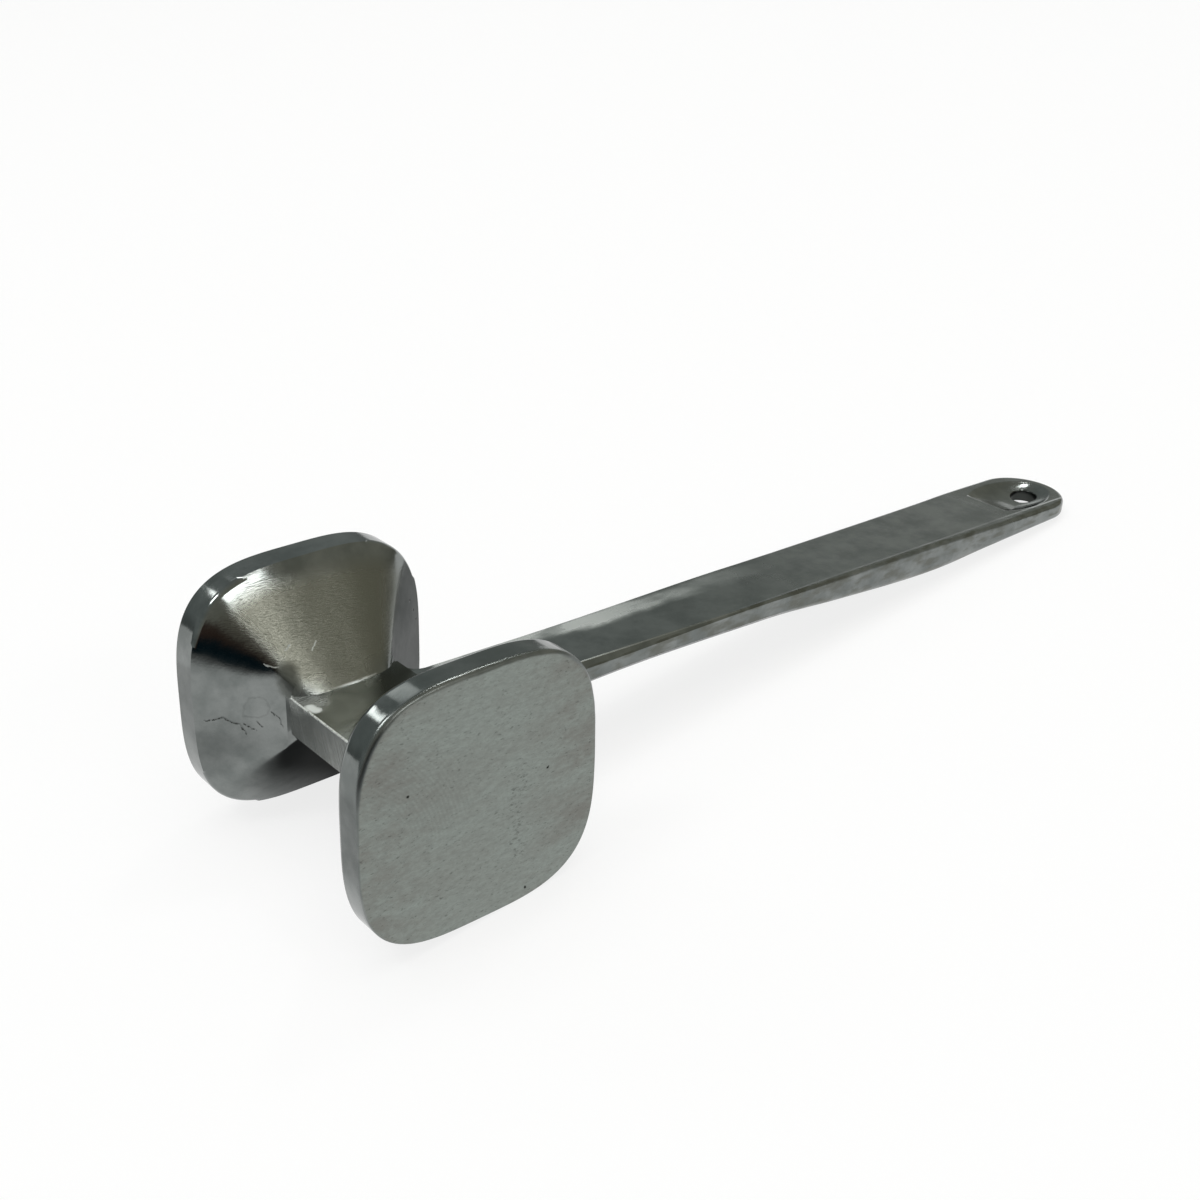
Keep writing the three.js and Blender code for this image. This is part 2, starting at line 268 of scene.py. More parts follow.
def add(tree, kind, *values, **named):
    """Adds a node. Its inputs are filled in their order, or by name: from_min is From Min.

    Any name that isn't an input's is a setting. One that brings an input in comes before it."""
    made = tree.nodes.new("ShaderNode" + kind)
    inputs = {}
    for name, value in named.items():
        socket = name.replace("_", " ").title()
        if socket in made.inputs:
            inputs[socket] = value
        else:
            setattr(made, name, value)
    fill(tree, made, {**dict(enumerate(values)), **inputs})
    return made


def chain(tree, kind, values, **settings):
    """Adds nodes one after another, each from the last one's result and the next value."""
    result = values[0]
    for value in values[1:]:
        result = add(tree, kind, result, value, **settings)
    return result


def new_material(name):
    """A material with its node tree, its shader and its output."""
    material = bpy.data.materials.new(name)
    material.use_nodes = True
    tree = material.node_tree
    return material, tree, tree.nodes["Principled BSDF"], tree.nodes["Material Output"]


# Meshes

MERGE_DISTANCE = 0.002 * MM


def new_object(name, data):
    made = bpy.data.objects.new(name, data)
    bpy.context.scene.collection.objects.link(made)
    return made


def mesh_object(name, bm):
    """An object with a mesh made of a bmesh, which is freed."""
    mesh = bpy.data.meshes.new(name)
    bm.to_mesh(mesh)
    bm.free()
    return new_object(name, mesh)


def finish_mesh(bm, name, sharpest_degrees):
    """Ends a mesh: one closed shell facing out, smooth but for its sharp edges, in the row frame."""
    bmesh.ops.remove_doubles(bm, verts=bm.verts, dist=MERGE_DISTANCE)
    bmesh.ops.transform(bm, matrix=HEAD_FRAME, verts=bm.verts)
    bmesh.ops.recalc_face_normals(bm, faces=bm.faces)
    sharpest = math.radians(sharpest_degrees)
    for face in bm.faces:
        face.smooth = True
    for edge in bm.edges:
        edge.smooth = edge.calc_face_angle(0) < sharpest
    made = mesh_object(name, bm)
    flatten = made.modifiers.new("Flat faces stay flat", "WEIGHTED_NORMAL")
    flatten.keep_sharp = True
    return made


def extrude_to(bm, verts, points, closed=True):
    """Extrudes a row of vertices to new points, one for one, and returns the new row."""
    pairs = list(zip(verts, verts[1:] + verts[:1])) if closed else list(zip(verts, verts[1:]))
    edges = [bm.edges.get(pair) for pair in pairs]
    made = bmesh.ops.extrude_edge_only(bm, edges=edges)["geom"]
    new = {g for g in made if isinstance(g, bmesh.types.BMVert)}
    row = [next(e.other_vert(v) for e in v.link_edges if e.other_vert(v) in new) for v in verts]
    for vert, point in zip(row, points):
        vert.co = point
    return row


def start_ring(bm, points):
    verts = bmesh.ops.create_circle(bm, segments=len(points), radius=1)["verts"]
    for vert, point in zip(verts, points):
        vert.co = point
    return verts


def ring_edges(bm, verts):
    return [bm.edges.get(pair) for pair in zip(verts, verts[1:] + verts[:1])]


# Heads

COLUMNS_PER_QUARTER = 48
SIDE_CROWDING = 1.7
FLARE_RINGS = 20
BEVEL_STEPS = 8
TOOTH_BEVEL_STEPS = 2
PLACES_PER_TOOTH = 3
HEAD_SHARPEST = 15
CHEEK_DRAFT = 0.05 * MM

# Satin top of a flare: its attribute, its height at the seat, its soft border, and the polish near the rim
SATIN = "satin"
SEAT_RISE = 0.98
RIDGE_SPREAD = 0.22
POLISHED_FROM = 0.73
POLISHED_BY = 0.92
POLISH = 0.97

# Edge of the ground face: it wanders in two wavelengths, fully where it is a third of the face's height
# above the middle
GROUND_STEPS = 8
EDGE_GRAIN = 8 * MM
EDGE_FINE_GRAIN = 2.2 * MM
EDGE_FINE_SHARE = 0.25
EDGE_WANDER = 0.45
EDGE_BIAS = 0.42
EDGE_TOP_PART = 3


def clamped(value):
    return min(1, max(0, value))


def quarter_angles():
    """Outward directions in one quarter, closer together where the rim's sides are nearly straight."""
    angles = []
    for i in range(COLUMNS_PER_QUARTER + 1):
        share = 2 * i / COLUMNS_PER_QUARTER
        if share <= 1:
            angles.append(math.pi / 4 * share**SIDE_CROWDING)
        else:
            angles.append(math.pi / 2 - math.pi / 4 * (2 - share) ** SIDE_CROWDING)
    return angles


def quarters():
    """Each column of the head as its quarter's signs and its outward direction inside that quarter."""
    angles = quarter_angles()
    back = angles[::-1]
    return (
        [(1, 1, a) for a in angles]
        + [(-1, 1, a) for a in back]
        + [(-1, -1, a) for a in angles]
        + [(1, -1, a) for a in back]
    )


def rounded_rectangle(half_x, half_z, power, y, straight=0, inset=0):
    """Rounded rectangle at fixed outward directions, with a short straight stretch in each side."""
    points = []
    for sign_x, sign_z, way in quarters():
        out_x = abs(math.cos(way))
        out_z = abs(math.sin(way))
        reach_x = ((half_x - straight / 2) * out_x) ** (1 / (power - 1))
        reach_z = ((half_z - straight / 2) * out_z) ** (1 / (power - 1))
        whole = (reach_x**power + reach_z**power) ** (1 / power)
        x = (half_x - straight / 2) * reach_x / whole + straight / 2 - inset * out_x
        z = (half_z - straight / 2) * reach_z / whole + straight / 2 - inset * out_z
        points.append(Vector((sign_x * x, y, sign_z * z)))
    return points


def rim_points(sizes, y, inset=0):
    half_x, half_z = sizes.face_width / 2, sizes.face_height / 2
    return rounded_rectangle(half_x, half_z, sizes.corner_power, y, sizes.straight, inset)


def root_points(sizes, past_seat):
    """Outline of the flare near its root, at a distance past the seat."""
    spread = (sizes.face_width - sizes.seat_width) / 2 / sizes.flare_depth
    rise = (sizes.face_height - sizes.root_height) / 2 / (sizes.flare_depth + sizes.root_lead)
    half_x = sizes.seat_width / 2 + spread * past_seat
    half_z = sizes.root_height / 2 + rise * (past_seat + sizes.root_lead)
    return rounded_rectangle(half_x, half_z, sizes.seat_power, past_seat)


def between(first, last, share):
    return [a.lerp(b, share) for a, b in zip(first, last)]


def ground_rows(sizes, y):
    """Rows round the edge of a face ground by hand, whose rounding is wider and uneven along its top."""
    rim = rim_points(sizes, y)
    inner = rim_points(sizes, y, sizes.ground_uneven)
    least = sizes.ground_edge / sizes.ground_uneven
    shares = []
    for point in rim:
        fine = noise.noise(point / EDGE_FINE_GRAIN) * EDGE_FINE_SHARE
        wander = noise.noise(point / EDGE_GRAIN) + fine
        top = clamped(point.z / (sizes.face_height / EDGE_TOP_PART))
        shares.append(min(1, least + top * (EDGE_BIAS + wander * EDGE_WANDER)))
    rows = []
    for i in range(GROUND_STEPS + 1):
        turn = math.pi / 2 * i / GROUND_STEPS
        row = []
        for outer, deep, share in zip(rim, inner, shares):
            back = Vector((0, sizes.ground_uneven * share * (1 - math.sin(turn)), 0))
            row.append(outer.lerp(deep, share * (1 - math.cos(turn))) - back)
        rows.append(row)
    return rows


def head_shell(bm, sizes, face_rows):
    """Closed head: seat, flare, rim and face. Returns the vertices behind the rim and round the face."""
    seat = root_points(sizes, 0)
    rim = rim_points(sizes, sizes.flare_depth)
    side = sizes.seat_width / 2 + CHEEK_DRAFT
    cheek = []
    for p in between(seat, rim, sizes.cheek_depth / sizes.flare_depth):
        cheek.append(Vector((max(-side, min(side, p.x)), p.y, p.z)))
    first = start_ring(bm, seat)
    back = extrude_to(bm, first, cheek)
    for i in range(1, FLARE_RINGS + 1):
        back = extrude_to(bm, back, between(cheek, rim, i / FLARE_RINGS))
    front = back
    for row in face_rows:
        front = extrude_to(bm, front, row)
    bm.faces.new(first)
    bm.faces.new(front)
    return back, front


def bevel(bm, edges, width, segments, clamp_overlap):
    bmesh.ops.bevel(
        bm,
        geom=edges,
        offset=width,
        offset_type="OFFSET",
        affect="EDGES",
        segments=segments,
        profile=0.5,
        material=-1,
        clamp_overlap=clamp_overlap,
    )


def bevel_rings(bm, rings_and_widths, segments):
    for ring, width in rings_and_widths:
        bevel(bm, ring_edges(bm, ring), width, segments, clamp_overlap=True)


def combine(body, tool, operation):
    """Joins a closed mesh to another, or trims it to the other, in millimetres, and returns the result."""
    parts = []
    for bm in (body, tool):
        bmesh.ops.scale(bm, vec=Vector((1, 1, 1)) / MM, verts=bm.verts)
        bmesh.ops.recalc_face_normals(bm, faces=bm.faces)
        parts.append(mesh_object("part", bm))
    step = parts[0].modifiers.new("Combine", "BOOLEAN")
    step.operation = operation
    step.solver = "EXACT"
    step.object = parts[1]
    made = bmesh.new()
    made.from_object(parts[0], bpy.context.evaluated_depsgraph_get())
    for part in parts:
        bpy.data.meshes.remove(part.data)
    if not made.faces or any(not edge.is_manifold for edge in made.edges):
        raise RuntimeError("the combined mesh is not closed")
    bmesh.ops.scale(made, vec=Vector((MM, MM, MM)), verts=made.verts)
    return made


def tooth_places(span, rows, tip):
    """Places across a tooth field: groove, start and end of a tip, and so on to the last groove."""
    pitch = span / rows
    places = [-span / 2]
    for i in range(rows):
        peak = -span / 2 + (i + 0.5) * pitch
        places += [peak - tip / 2, peak + tip / 2, peak + pitch / 2]
    return places


def tooth_grid(sizes, face_at):
    """Closed block of teeth left standing between V grooves that cross each other."""
    xs = tooth_places(sizes.face_width - 2 * sizes.tooth_land, sizes.tooth_rows, sizes.tooth_tip)
    zs = tooth_places(sizes.face_height - 2 * sizes.tooth_land, sizes.tooth_rows, sizes.tooth_tip)
    last = len(xs) - 1
    bm = bmesh.new()
    bmesh.ops.create_grid(bm, x_segments=last, y_segments=last, size=last / 2)
    grid = {}
    for vert in bm.verts:
        i, k = round(vert.co.x + last / 2), round(vert.co.y + last / 2)
        on_tip = i % PLACES_PER_TOOTH and k % PLACES_PER_TOOTH
        vert.co = Vector((xs[i], face_at + (sizes.tooth_height if on_tip else 0), zs[k]))
        grid[i, k] = vert
    for i in range(0, last + 1, PLACES_PER_TOOTH):
        for k in range(0, last + 1, PLACES_PER_TOOTH):
            for step_i in (-1, 1):
                for step_k in (-1, 1):
                    peak = grid.get((i + step_i, k + step_k))
                    if peak:
                        bmesh.ops.connect_vert_pair(bm, verts=[grid[i, k], peak])
    tips = []
    for edge in bm.edges:
        if all(vert.co.y > face_at + sizes.tooth_height / 2 for vert in edge.verts):
            tips.append(edge)
    bevel(bm, tips, sizes.tooth_edge, TOOTH_BEVEL_STEPS, clamp_overlap=False)
    sunk = bmesh.ops.extrude_face_region(bm, geom=bm.faces[:])["geom"]
    for vert in sunk:
        if isinstance(vert, bmesh.types.BMVert):
            vert.co.y = face_at - sizes.tooth_land
    return bm


def tooth_field(sizes, face_at):
    """Teeth trimmed to the outline of the face, drawn in towards their tips."""
    bm = bmesh.new()
    over = sizes.tooth_height + sizes.tooth_land
    ring = start_ring(bm, rim_points(sizes, face_at - 2 * sizes.tooth_land, sizes.tooth_land))
    bm.faces.new(ring)
    ring = extrude_to(bm, ring, rim_points(sizes, face_at, sizes.tooth_land))
    tops = rim_points(sizes, face_at + over, sizes.tooth_land + over / sizes.tooth_slope)
    ring = extrude_to(bm, ring, tops)
    bm.faces.new(ring)
    return combine(tooth_grid(sizes, face_at), bm, "INTERSECT")


def mark_satin(made, sizes, seat_at):
    """Marks how far each point of a head belongs to the satin top of its flare, out to the ridges."""
    to_head = HEAD_FRAME.inverted()
    values = made.data.attributes.new(SATIN, "FLOAT", "POINT").data
    low = SEAT_RISE * sizes.root_height
    for vert in made.data.vertices:
        at = to_head @ vert.co
        share = clamped((abs(at.y) - seat_at) / sizes.flare_depth)
        half_x = sizes.seat_width / 2 + share * (sizes.face_width - sizes.seat_width) / 2
        half_z = low + share * (sizes.face_height / 2 - low)
        over_ridge = at.z / half_z - abs(at.x) / half_x
        polished = clamped((share - POLISHED_FROM) / (POLISHED_BY - POLISHED_FROM))
        satin = clamped((over_ridge + RIDGE_SPREAD) / (2 * RIDGE_SPREAD))
        values[vert.index].value = satin * (1 - POLISH * polished)
    return made


def smooth_head_mesh(sizes, seat_at):
    bm = bmesh.new()
    face_rows = ground_rows(sizes, sizes.flare_depth + sizes.rim_thickness)
    back, _ = head_shell(bm, sizes, face_rows)
    bevel_rings(bm, [(back, sizes.back_round)], BEVEL_STEPS)
    bmesh.ops.rotate(bm, matrix=Matrix.Rotation(math.pi, 3, "Z"), verts=bm.verts)
    bmesh.ops.translate(bm, vec=(0, -seat_at, 0), verts=bm.verts)
    return mark_satin(finish_mesh(bm, "smooth_head_casting", HEAD_SHARPEST), sizes, seat_at)


def toothed_head_mesh(sizes, seat_at):
    bm = bmesh.new()
    face_at = sizes.flare_depth + sizes.rim_thickness
    back, front = head_shell(bm, sizes, [rim_points(sizes, face_at)])
    bevel_rings(bm, [(back, sizes.back_round), (front, sizes.face_round)], BEVEL_STEPS)
    bm = combine(bm, tooth_field(sizes, face_at), "UNION")
    bmesh.ops.translate(bm, vec=(0, seat_at, 0), verts=bm.verts)
    return mark_satin(finish_mesh(bm, "toothed_head_casting", HEAD_SHARPEST), sizes, seat_at)


# Handle

EDGE_STEPS = 10
SOFTEST_CHAMFER = 1.22
CHAMFERED, ROUNDED = 1, 2
STATION_STEP = 2 * MM
BLOCK_RINGS = (-0.5, 0, 0.5, 1)
FILLET_STEPS = 12
END_STEPS = 40
DISH_MARGIN = 2 * MM
DISH_RINGS = 14
TIP_BEVEL_STEPS = 3
HANDLE_SHARPEST = 28


def handle_stations(sizes):
    """Distances along the handle with the section there: half width, depth, chamfer, lower edge and bend."""
    neck, grip = sizes.neck_chamfer, sizes.grip_chamfer
    under, tab = [sizes.under_edge] * 2, [sizes.tab_under] * 2
    swell = [sizes.swell_under_width, sizes.swell_under_height]
    belly = [sizes.belly_under_width, sizes.belly_under_height]
    heel = [(a + b) / 2 for a, b in zip(belly, swell)]
    heel_width = (sizes.belly_width + sizes.tab_width) / 2
    rows = [
        (0, sizes.neck_width, sizes.root_depth, neck, *under, CHAMFERED),
        (sizes.root_run, sizes.neck_width, sizes.neck_depth, neck, *under, CHAMFERED),
        (sizes.neck_run, sizes.throat_width, sizes.neck_depth, sizes.throat_chamfer, *under, CHAMFERED),
        (sizes.swell_run, sizes.swell_width, sizes.swell_depth, grip, *swell, ROUNDED),
        (sizes.belly_run, sizes.belly_width, sizes.belly_depth, grip, *belly, ROUNDED),
        (sizes.heel_run, heel_width, sizes.heel_depth, grip, *heel, ROUNDED),
        (sizes.drop_run, sizes.tab_width, sizes.tab_depth, grip, *tab, ROUNDED),
        (sizes.tab_run, sizes.tab_width, sizes.end_depth, grip, *tab, ROUNDED),
    ]
    at = 0
    stations = []
    for run, width, *rest in rows:
        at += run
        stations.append((at, [width / 2, *rest]))
    return stations


def section_at(stations, at):
    """Section between stations, on a curve whose slope at a station is the mean of its two sides."""
    last = len(stations) - 2
    i = next((k for k in range(last + 1) if at <= stations[k + 1][0]), last)
    (start, before), (end, after) = stations[i], stations[i + 1]
    span = end - start
    p = (at - start) / span
    found = []
    for k in range(len(before)):
        here = (after[k] - before[k]) / span
        lead = here
        trail = here
        if i > 0:
            lead = (here + (before[k] - stations[i - 1][1][k]) / (start - stations[i - 1][0])) / 2
        if i < last:
            trail = (here + (stations[i + 2][1][k] - after[k]) / (stations[i + 2][0] - end)) / 2
        found.append(
            (2 * p**3 - 3 * p**2 + 1) * before[k]
            + (p**3 - 2 * p**2 + p) * span * lead
            + (3 * p**2 - 2 * p**3) * after[k]
            + (p**3 - p**2) * span * trail
        )
    return found


def half_section(section):
    """Right half of the handle's section: flat top, upper edge, side, lower edge and flat underside."""
    half, depth, chamfer, under_width, under_height, bend = section
    low = min(under_height, depth - chamfer)
    top_bend = max(bend, SOFTEST_CHAMFER)
    points = []
    for i in range(EDGE_STEPS + 1):
        turn = math.pi / 2 * i / EDGE_STEPS
        y = half - chamfer + chamfer * math.sin(turn) ** (2 / top_bend)
        z = -chamfer + chamfer * max(0, math.cos(turn)) ** (2 / top_bend)
        points.append(Vector((y, z)))
    for i in range(EDGE_STEPS + 1):
        turn = math.pi / 2 * i / EDGE_STEPS
        y = half - under_width + under_width * max(0, math.cos(turn)) ** (2 / bend)
        z = -(depth - low) - low * math.sin(turn) ** (2 / bend)
        points.append(Vector((y, z)))
    return points


def both_halves(half):
    """A whole section, made from its right half."""
    return half + [Vector((-p.x, p.y)) for p in reversed(half)]


def spaced(first, last, count):
    """Evenly spaced places after the first one, up to the last."""
    return [first + (last - first) * i / count for i in range(1, count + 1)]


def handle_places(fillet, last):
    """Distances along the handle at which its section is drawn, closer together in the root fillet."""
    places = [fillet * (1 - math.cos(math.pi / 2 * i / FILLET_STEPS)) for i in range(1, FILLET_STEPS + 1)]
    return places + spaced(fillet, last, math.ceil((last - fillet) / STATION_STEP))


def dish_height(sizes, x, y, dish_at):
    """Height of the dish's surface below the flat top."""
    ball = sizes.dish_depth * sizes.dish_ball
    lift = ball - sizes.dish_depth
    spread = math.sqrt(1 - (lift / ball) ** 2)
    out = ((x - dish_at) / (sizes.dish_length / 2)) ** 2 + (y / (sizes.dish_width / 2)) ** 2
    return lift - ball * math.sqrt(max(0, 1 - out * spread**2))


def handle_mesh(sizes, heads):
    bm = bmesh.new()
    stations = handle_stations(sizes)
    end_at, end_section = stations[-1]
    tip = end_at + end_section[0]
    dish_at = tip - sizes.dish_from_end
    hole_at = tip - sizes.hole_from_end
    tab_at = dish_at - sizes.dish_length / 2 - DISH_MARGIN
    fillet = sizes.root_fillet
    start = (sizes.block_width / 2 - sizes.root_overlap, 0, sizes.block_height / 2 - sizes.root_step)
    bar = Matrix.Translation(start) @ Matrix.Rotation(sizes.top_slope, 4, "Y")
    edge = sizes.block_edge
    block = half_section([sizes.block_length / 2, sizes.block_height, edge, edge, edge, ROUNDED])

    def block_ring(x):
        return [Vector((x, p.x, p.y + sizes.block_height / 2)) for p in both_halves(block)]

    def half_at(at):
        section = section_at(stations, at)
        section[0] += fillet - math.sqrt(fillet**2 - max(0, fillet - at) ** 2)
        return half_section(section)

    def placed(at, points, side=1):
        return [bar @ Vector((at, side * p.x, p.y)) for p in points]

    # The waist block, and the bar up to its rounded end
    ring = start_ring(bm, block_ring(-sizes.block_width / 2))
    bm.faces.new(ring)
    for share in BLOCK_RINGS:
        ring = extrude_to(bm, ring, block_ring(share * sizes.block_width / 2))
    for at in handle_places(fillet, tab_at):
        ring = extrude_to(bm, ring, placed(at, both_halves(half_at(at))))

    # The outline of the rounded end: its right side, the tip and its left side
    steps = math.ceil((end_at - tab_at) / STATION_STEP)
    rows = [placed(at, half_at(at)) for at in spaced(tab_at, end_at, steps)]
    for i in range(1, END_STEPS + 1):
        turn = Matrix.Rotation(-math.pi * i / END_STEPS, 4, "Z")
        turned = [turn @ Vector((0, p.x, p.y)) for p in half_section(end_section)]
        rows.append([bar @ (Vector((end_at, 0, 0)) + point) for point in turned])
    rows += [placed(at, half_at(at), -1) for at in spaced(end_at, tab_at, steps)]
    count = len(ring) // 2
    side = ring[:count]
    top, under = [side[0]], [side[-1]]
    for points in rows:
        side = extrude_to(bm, side, points, closed=False)
        top.append(side[0])
        under.append(side[-1])
    bmesh.ops.weld_verts(bm, targetmap=dict(zip(side, reversed(ring[count:]))))
    top[-1] = ring[-1]
    under[-1] = ring[count]

    # The dish, from an oval in the flat top down to the hang hole
    to_bar = bar.inverted()
    oval = []
    hole = []
    for vert in top:
        local = to_bar @ vert.co
        way = Vector((local.x - dish_at, local.y)).normalized()
        reach = 1 / math.hypot(way.x / (sizes.dish_length / 2), way.y / (sizes.dish_width / 2))
        point = Vector((dish_at + way.x * reach, way.y * reach))
        oval.append(point)
        way = Vector((point.x - hole_at, point.y)).normalized()
        hole.append(Vector((hole_at, 0)) + way * (sizes.hole_diameter / 2))
    rim = extrude_to(bm, top, [bar @ Vector((p.x, p.y, 0)) for p in oval])
    hole_top = rim
    for share in spaced(0, 1, DISH_RINGS):
        points = []
        for p in between(oval, hole, share):
            points.append(bar @ Vector((p.x, p.y, dish_height(sizes, p.x, p.y, dish_at))))
        hole_top = extrude_to(bm, hole_top, points)
    low = []
    for p in hole:
        depth = section_at(stations, min(p.x, end_at))[1]
        low.append(bar @ Vector((p.x, p.y, -depth)))
    hole_foot = extrude_to(bm, hole_top, low)
    bmesh.ops.bridge_loops(bm, edges=ring_edges(bm, hole_foot) + ring_edges(bm, under))
    edges = [(rim, sizes.dish_edge), (hole_top, sizes.hole_edge), (hole_foot, sizes.hole_edge)]
    bevel_rings(bm, edges, TIP_BEVEL_STEPS)

    # The start of each flare, which is cast in one with the block
    seat_at = sizes.block_length / 2
    for turn in (0, math.pi):
        foot = bmesh.new()
        ring = start_ring(foot, root_points(heads, -heads.root_lead))
        foot.faces.new(ring)
        foot.faces.new(extrude_to(foot, ring, root_points(heads, 0)))
        bmesh.ops.translate(foot, vec=(0, seat_at, 0), verts=foot.verts)
        bmesh.ops.rotate(foot, matrix=Matrix.Rotation(turn, 3, "Z"), verts=foot.verts)
        bm = combine(bm, foot, "UNION")
    return mark_satin(finish_mesh(bm, "handle_casting", HANDLE_SHARPEST), heads, seat_at)


# Metals

LEAST_RUN = 1e-9
MARK_WANDER = 0.7

# Roughness of the finishes, and what some marks add to it
MIRROR_ROUGH = 0.1
SATIN_ROUGH = 0.28
BAR_ROUGH = 0.22
FACE_ROUGH = 0.34
FACE_ROUGH_STRAY = 0.2
STEEL_ROUGH = 0.35
DULL_ROUGH = 0.3
ROUNDING_ROUGH = 0.22
# Roughness added on painted highlights and pale reflections
HIGHLIGHT_ROUGH = 0.22
SCRATCH_ROUGH = 0.4

# Depths of the bumps, in millimetres
WAVE_DEPTH = 0.12
SCRATCH_DEPTH = 0.006
STROKE_DEPTH = 0.06
LUMP_DEPTH = 0.16
GRAIN_DEPTH = 0.03
FLAW_DEPTH = 0.15
RING_DEPTH = 0.02

# How strongly marks, painted shade and painted highlights show
SCRAPED_AND_SHADED_SHARE = 0.45
OVAL_SHARE = 0.13
ARC_STRENGTH = 0.6
ARC_RELIEF = 0.5
GRIT_RARE = 0.6
GRIT_DENSE = 0.535
# Share of the metal look taken from painted highlights and pale reflections
HIGHLIGHT_NON_METAL = 0.85
# Strength of the painted shade on the waist
WAIST_SHADE_SHARE = 0.7

# Limits and reaches of the zones, in millimetres
GROUND_BLUR = 0.12
ROUNDING_FROM = 0.5
ROUNDING_BY = 1.7
# Reaches of the painted pale reflection band
PALE_STRAY = 5
PALE_CORE = 1.1
PALE_EDGE = 3.7
FOOT_FROM = 11.25
FLAT_BELOW = 0.06
FOOT_ABOVE = 0.02
HOLE_REACH = 20
# Reach of the painted shade past the hang hole's wall
HOLE_SHADE_REACH = 0.3

# Stretches of the bar that are rougher and, at its tip, as smooth again: start, end and added roughness
GRIP_FINISH = [(85, 130, 0.18), (186, 198, -0.18)]

# Marks of the casting, and places of painted highlights, reflections and shade, in millimetres from the
# middle of the heads
COLD_SHUTS = [
    [(-25.9, 25.8, -2), (-24.3, 24.6, -1.7), (-23, 23.5, -1), (-21.7, 22.5, -2.2), (-20.3, 21.4, -2.6)],
    [(-20.3, 21.4, -2.6), (-19.7, 21, -4.1), (-19.3, 20.7, -4.8)],
    [(-19.6, 20.9, -2.6), (-18.4, 20, -3.6), (-17.8, 19.5, -4)],
    [(-17.6, 19.3, -2.1), (-16.7, 18.6, -3.3)],
    [(-15.1, 17.4, 0.2), (-14.1, 16.5, -1.2), (-13.6, 16, -3.6)],
]
OVAL_MARK = [
    (-19.7, 21, -0.8),
    (-19.4, 20.7, 1.6),
    (-18.6, 20.1, 3.2),
    (-17, 18.8, 3.7),
    (-15.9, 18, 3),
    (-15.4, 17.6, 1.1),
    (-15.8, 17.9, -0.3),
    (-17.4, 19.1, -1.2),
    (-19.7, 21, -0.8),
]
# Real scratches, drawn pale with a painted glint
BRIGHT_SCRATCHES = [
    [(-15.6, 18.5, 10.9), (-14.7, 17.7, 10.3), (-13.3, 16.9, 10.1)],
    [(-11.1, 17.8, 12.9), (-9.8, 18, 13.5)],
    [(-5.7, 16.5, 11.7), (-4.3, 17.3, 13)],
]
FLARE_PITS = [[(23.3, 24.2, 11.2)], [(24.6, 25, 8.1)], [(25.8, 25.7, 5.4)]]
FACE_PITS = [[(15.3, -33.4, 0.9)], [(10.1, -33.4, -24.8)], [(-16.7, -33.4, 7)]]
FACE_SMUDGES = [
    [(4.6, -33.4, 20.2), (6.4, -33.4, 19.6)],
    [(6.4, -33.4, 13.4), (8.3, -33.4, 12.8)],
    [(25.2, -33.4, 5.5)],
    [(-24.6, -33.4, -3)],
    [(-6.2, -33.4, -13.5), (-8, -33.4, -14)],
    [(-10.1, -33.4, -18.5)],
]
STAIN_BAND = [(8.6, -33.4, 2.9), (7.4, -33.4, -3.4), (8.3, -33.4, -15.2)]
ARC_CENTRE = (-34, -33.4, -6)
ARC_REACH = [(-21, -33.4, 12), (-10, -33.4, 3)]
# Painted shade on a facet at the far flare's root that isn't modelled, which also has a dull finish from
# scraping
SCRAPED_SHADED_FACET = [(-12.2, 14.6, 5.6), (-11.6, 16.6, 8.4)]
# Painted highlight on a corner of the block
CORNER_HIGHLIGHT = [(-11.4, 12.4, 4.2), (-9.6, 9.6, 4.2)]
# Painted shade on the waist's flat top between the heads, along this line
WAIST_SHADE_LINE = [(-8, 0, 4), (8, 0, 4)]
# Painted highlight on a spot beside that corner
SPOT_HIGHLIGHT = [(-11.6, 8.4, 4.2), (-11.2, 6.6, 4.2)]
# Painted highlight lines along the block's top edge, the valley at the far flare's foot and the bar's near
# top edge
BLOCK_EDGE = [(-12.7, 14, 4.2), (-12.7, -14, 4.2)]
VALLEY = [
    (-12.5, 14.2, 4.3),
    (-7, 13.2, 4.3),
    (-4.8, 11.9, 4.3),
    (0.9, 11.4, 4.3),
    (6, 11.9, 4.3),
    (10, 13.1, 4.3),
]
BAR_EDGE = [(16, -8.4, 4), (45, -8.2, 3.3), (90.7, -9.5, 1.9)]
# Painted pale reflection along the bar's far side
PALE_BAND = [(20, 6.6, 3.9), (45, 6.2, 3.3), (62, 5.2, 2.8), (88, 6.2, 2.1), (118, 4.6, 1.2)]

# Direction across the strokes on the block's end, in waves per millimetre
SIDE_STROKES = (0, 2.6, -0.9)

# Painted highlight lines along edges: the line, how far the highlight reaches in millimetres, and the
# faintest scratch that shows
EDGE_HIGHLIGHTS = [(VALLEY, 0.45, 0.3), (BLOCK_EDGE, 0.4, 0.36), (BAR_EDGE, 0.3, 0.2)]


def head_millimetres(tree):
    """Object coordinates as millimetres from the middle of the heads."""
    place = add(tree, "TexCoord").outputs["Object"]
    at, turned = HEAD_FRAME.to_translation(), HEAD_FRAME.to_euler()
    return add(
        tree, "Mapping", place, location=at, rotation=turned, scale=(MM, MM, MM), vector_type="TEXTURE"
    )


def casting_places(sizes):
    """Height of the waist block, and the middle and radius of the hang hole, in millimetres."""
    end_at, end_section = handle_stations(sizes)[-1]
    along = end_at + end_section[0] - sizes.hole_from_end
    hole_at = sizes.block_width / 2 - sizes.root_overlap + along * math.cos(sizes.top_slope)
    return sizes.block_height / MM, hole_at / MM, sizes.hole_diameter / 2 / MM


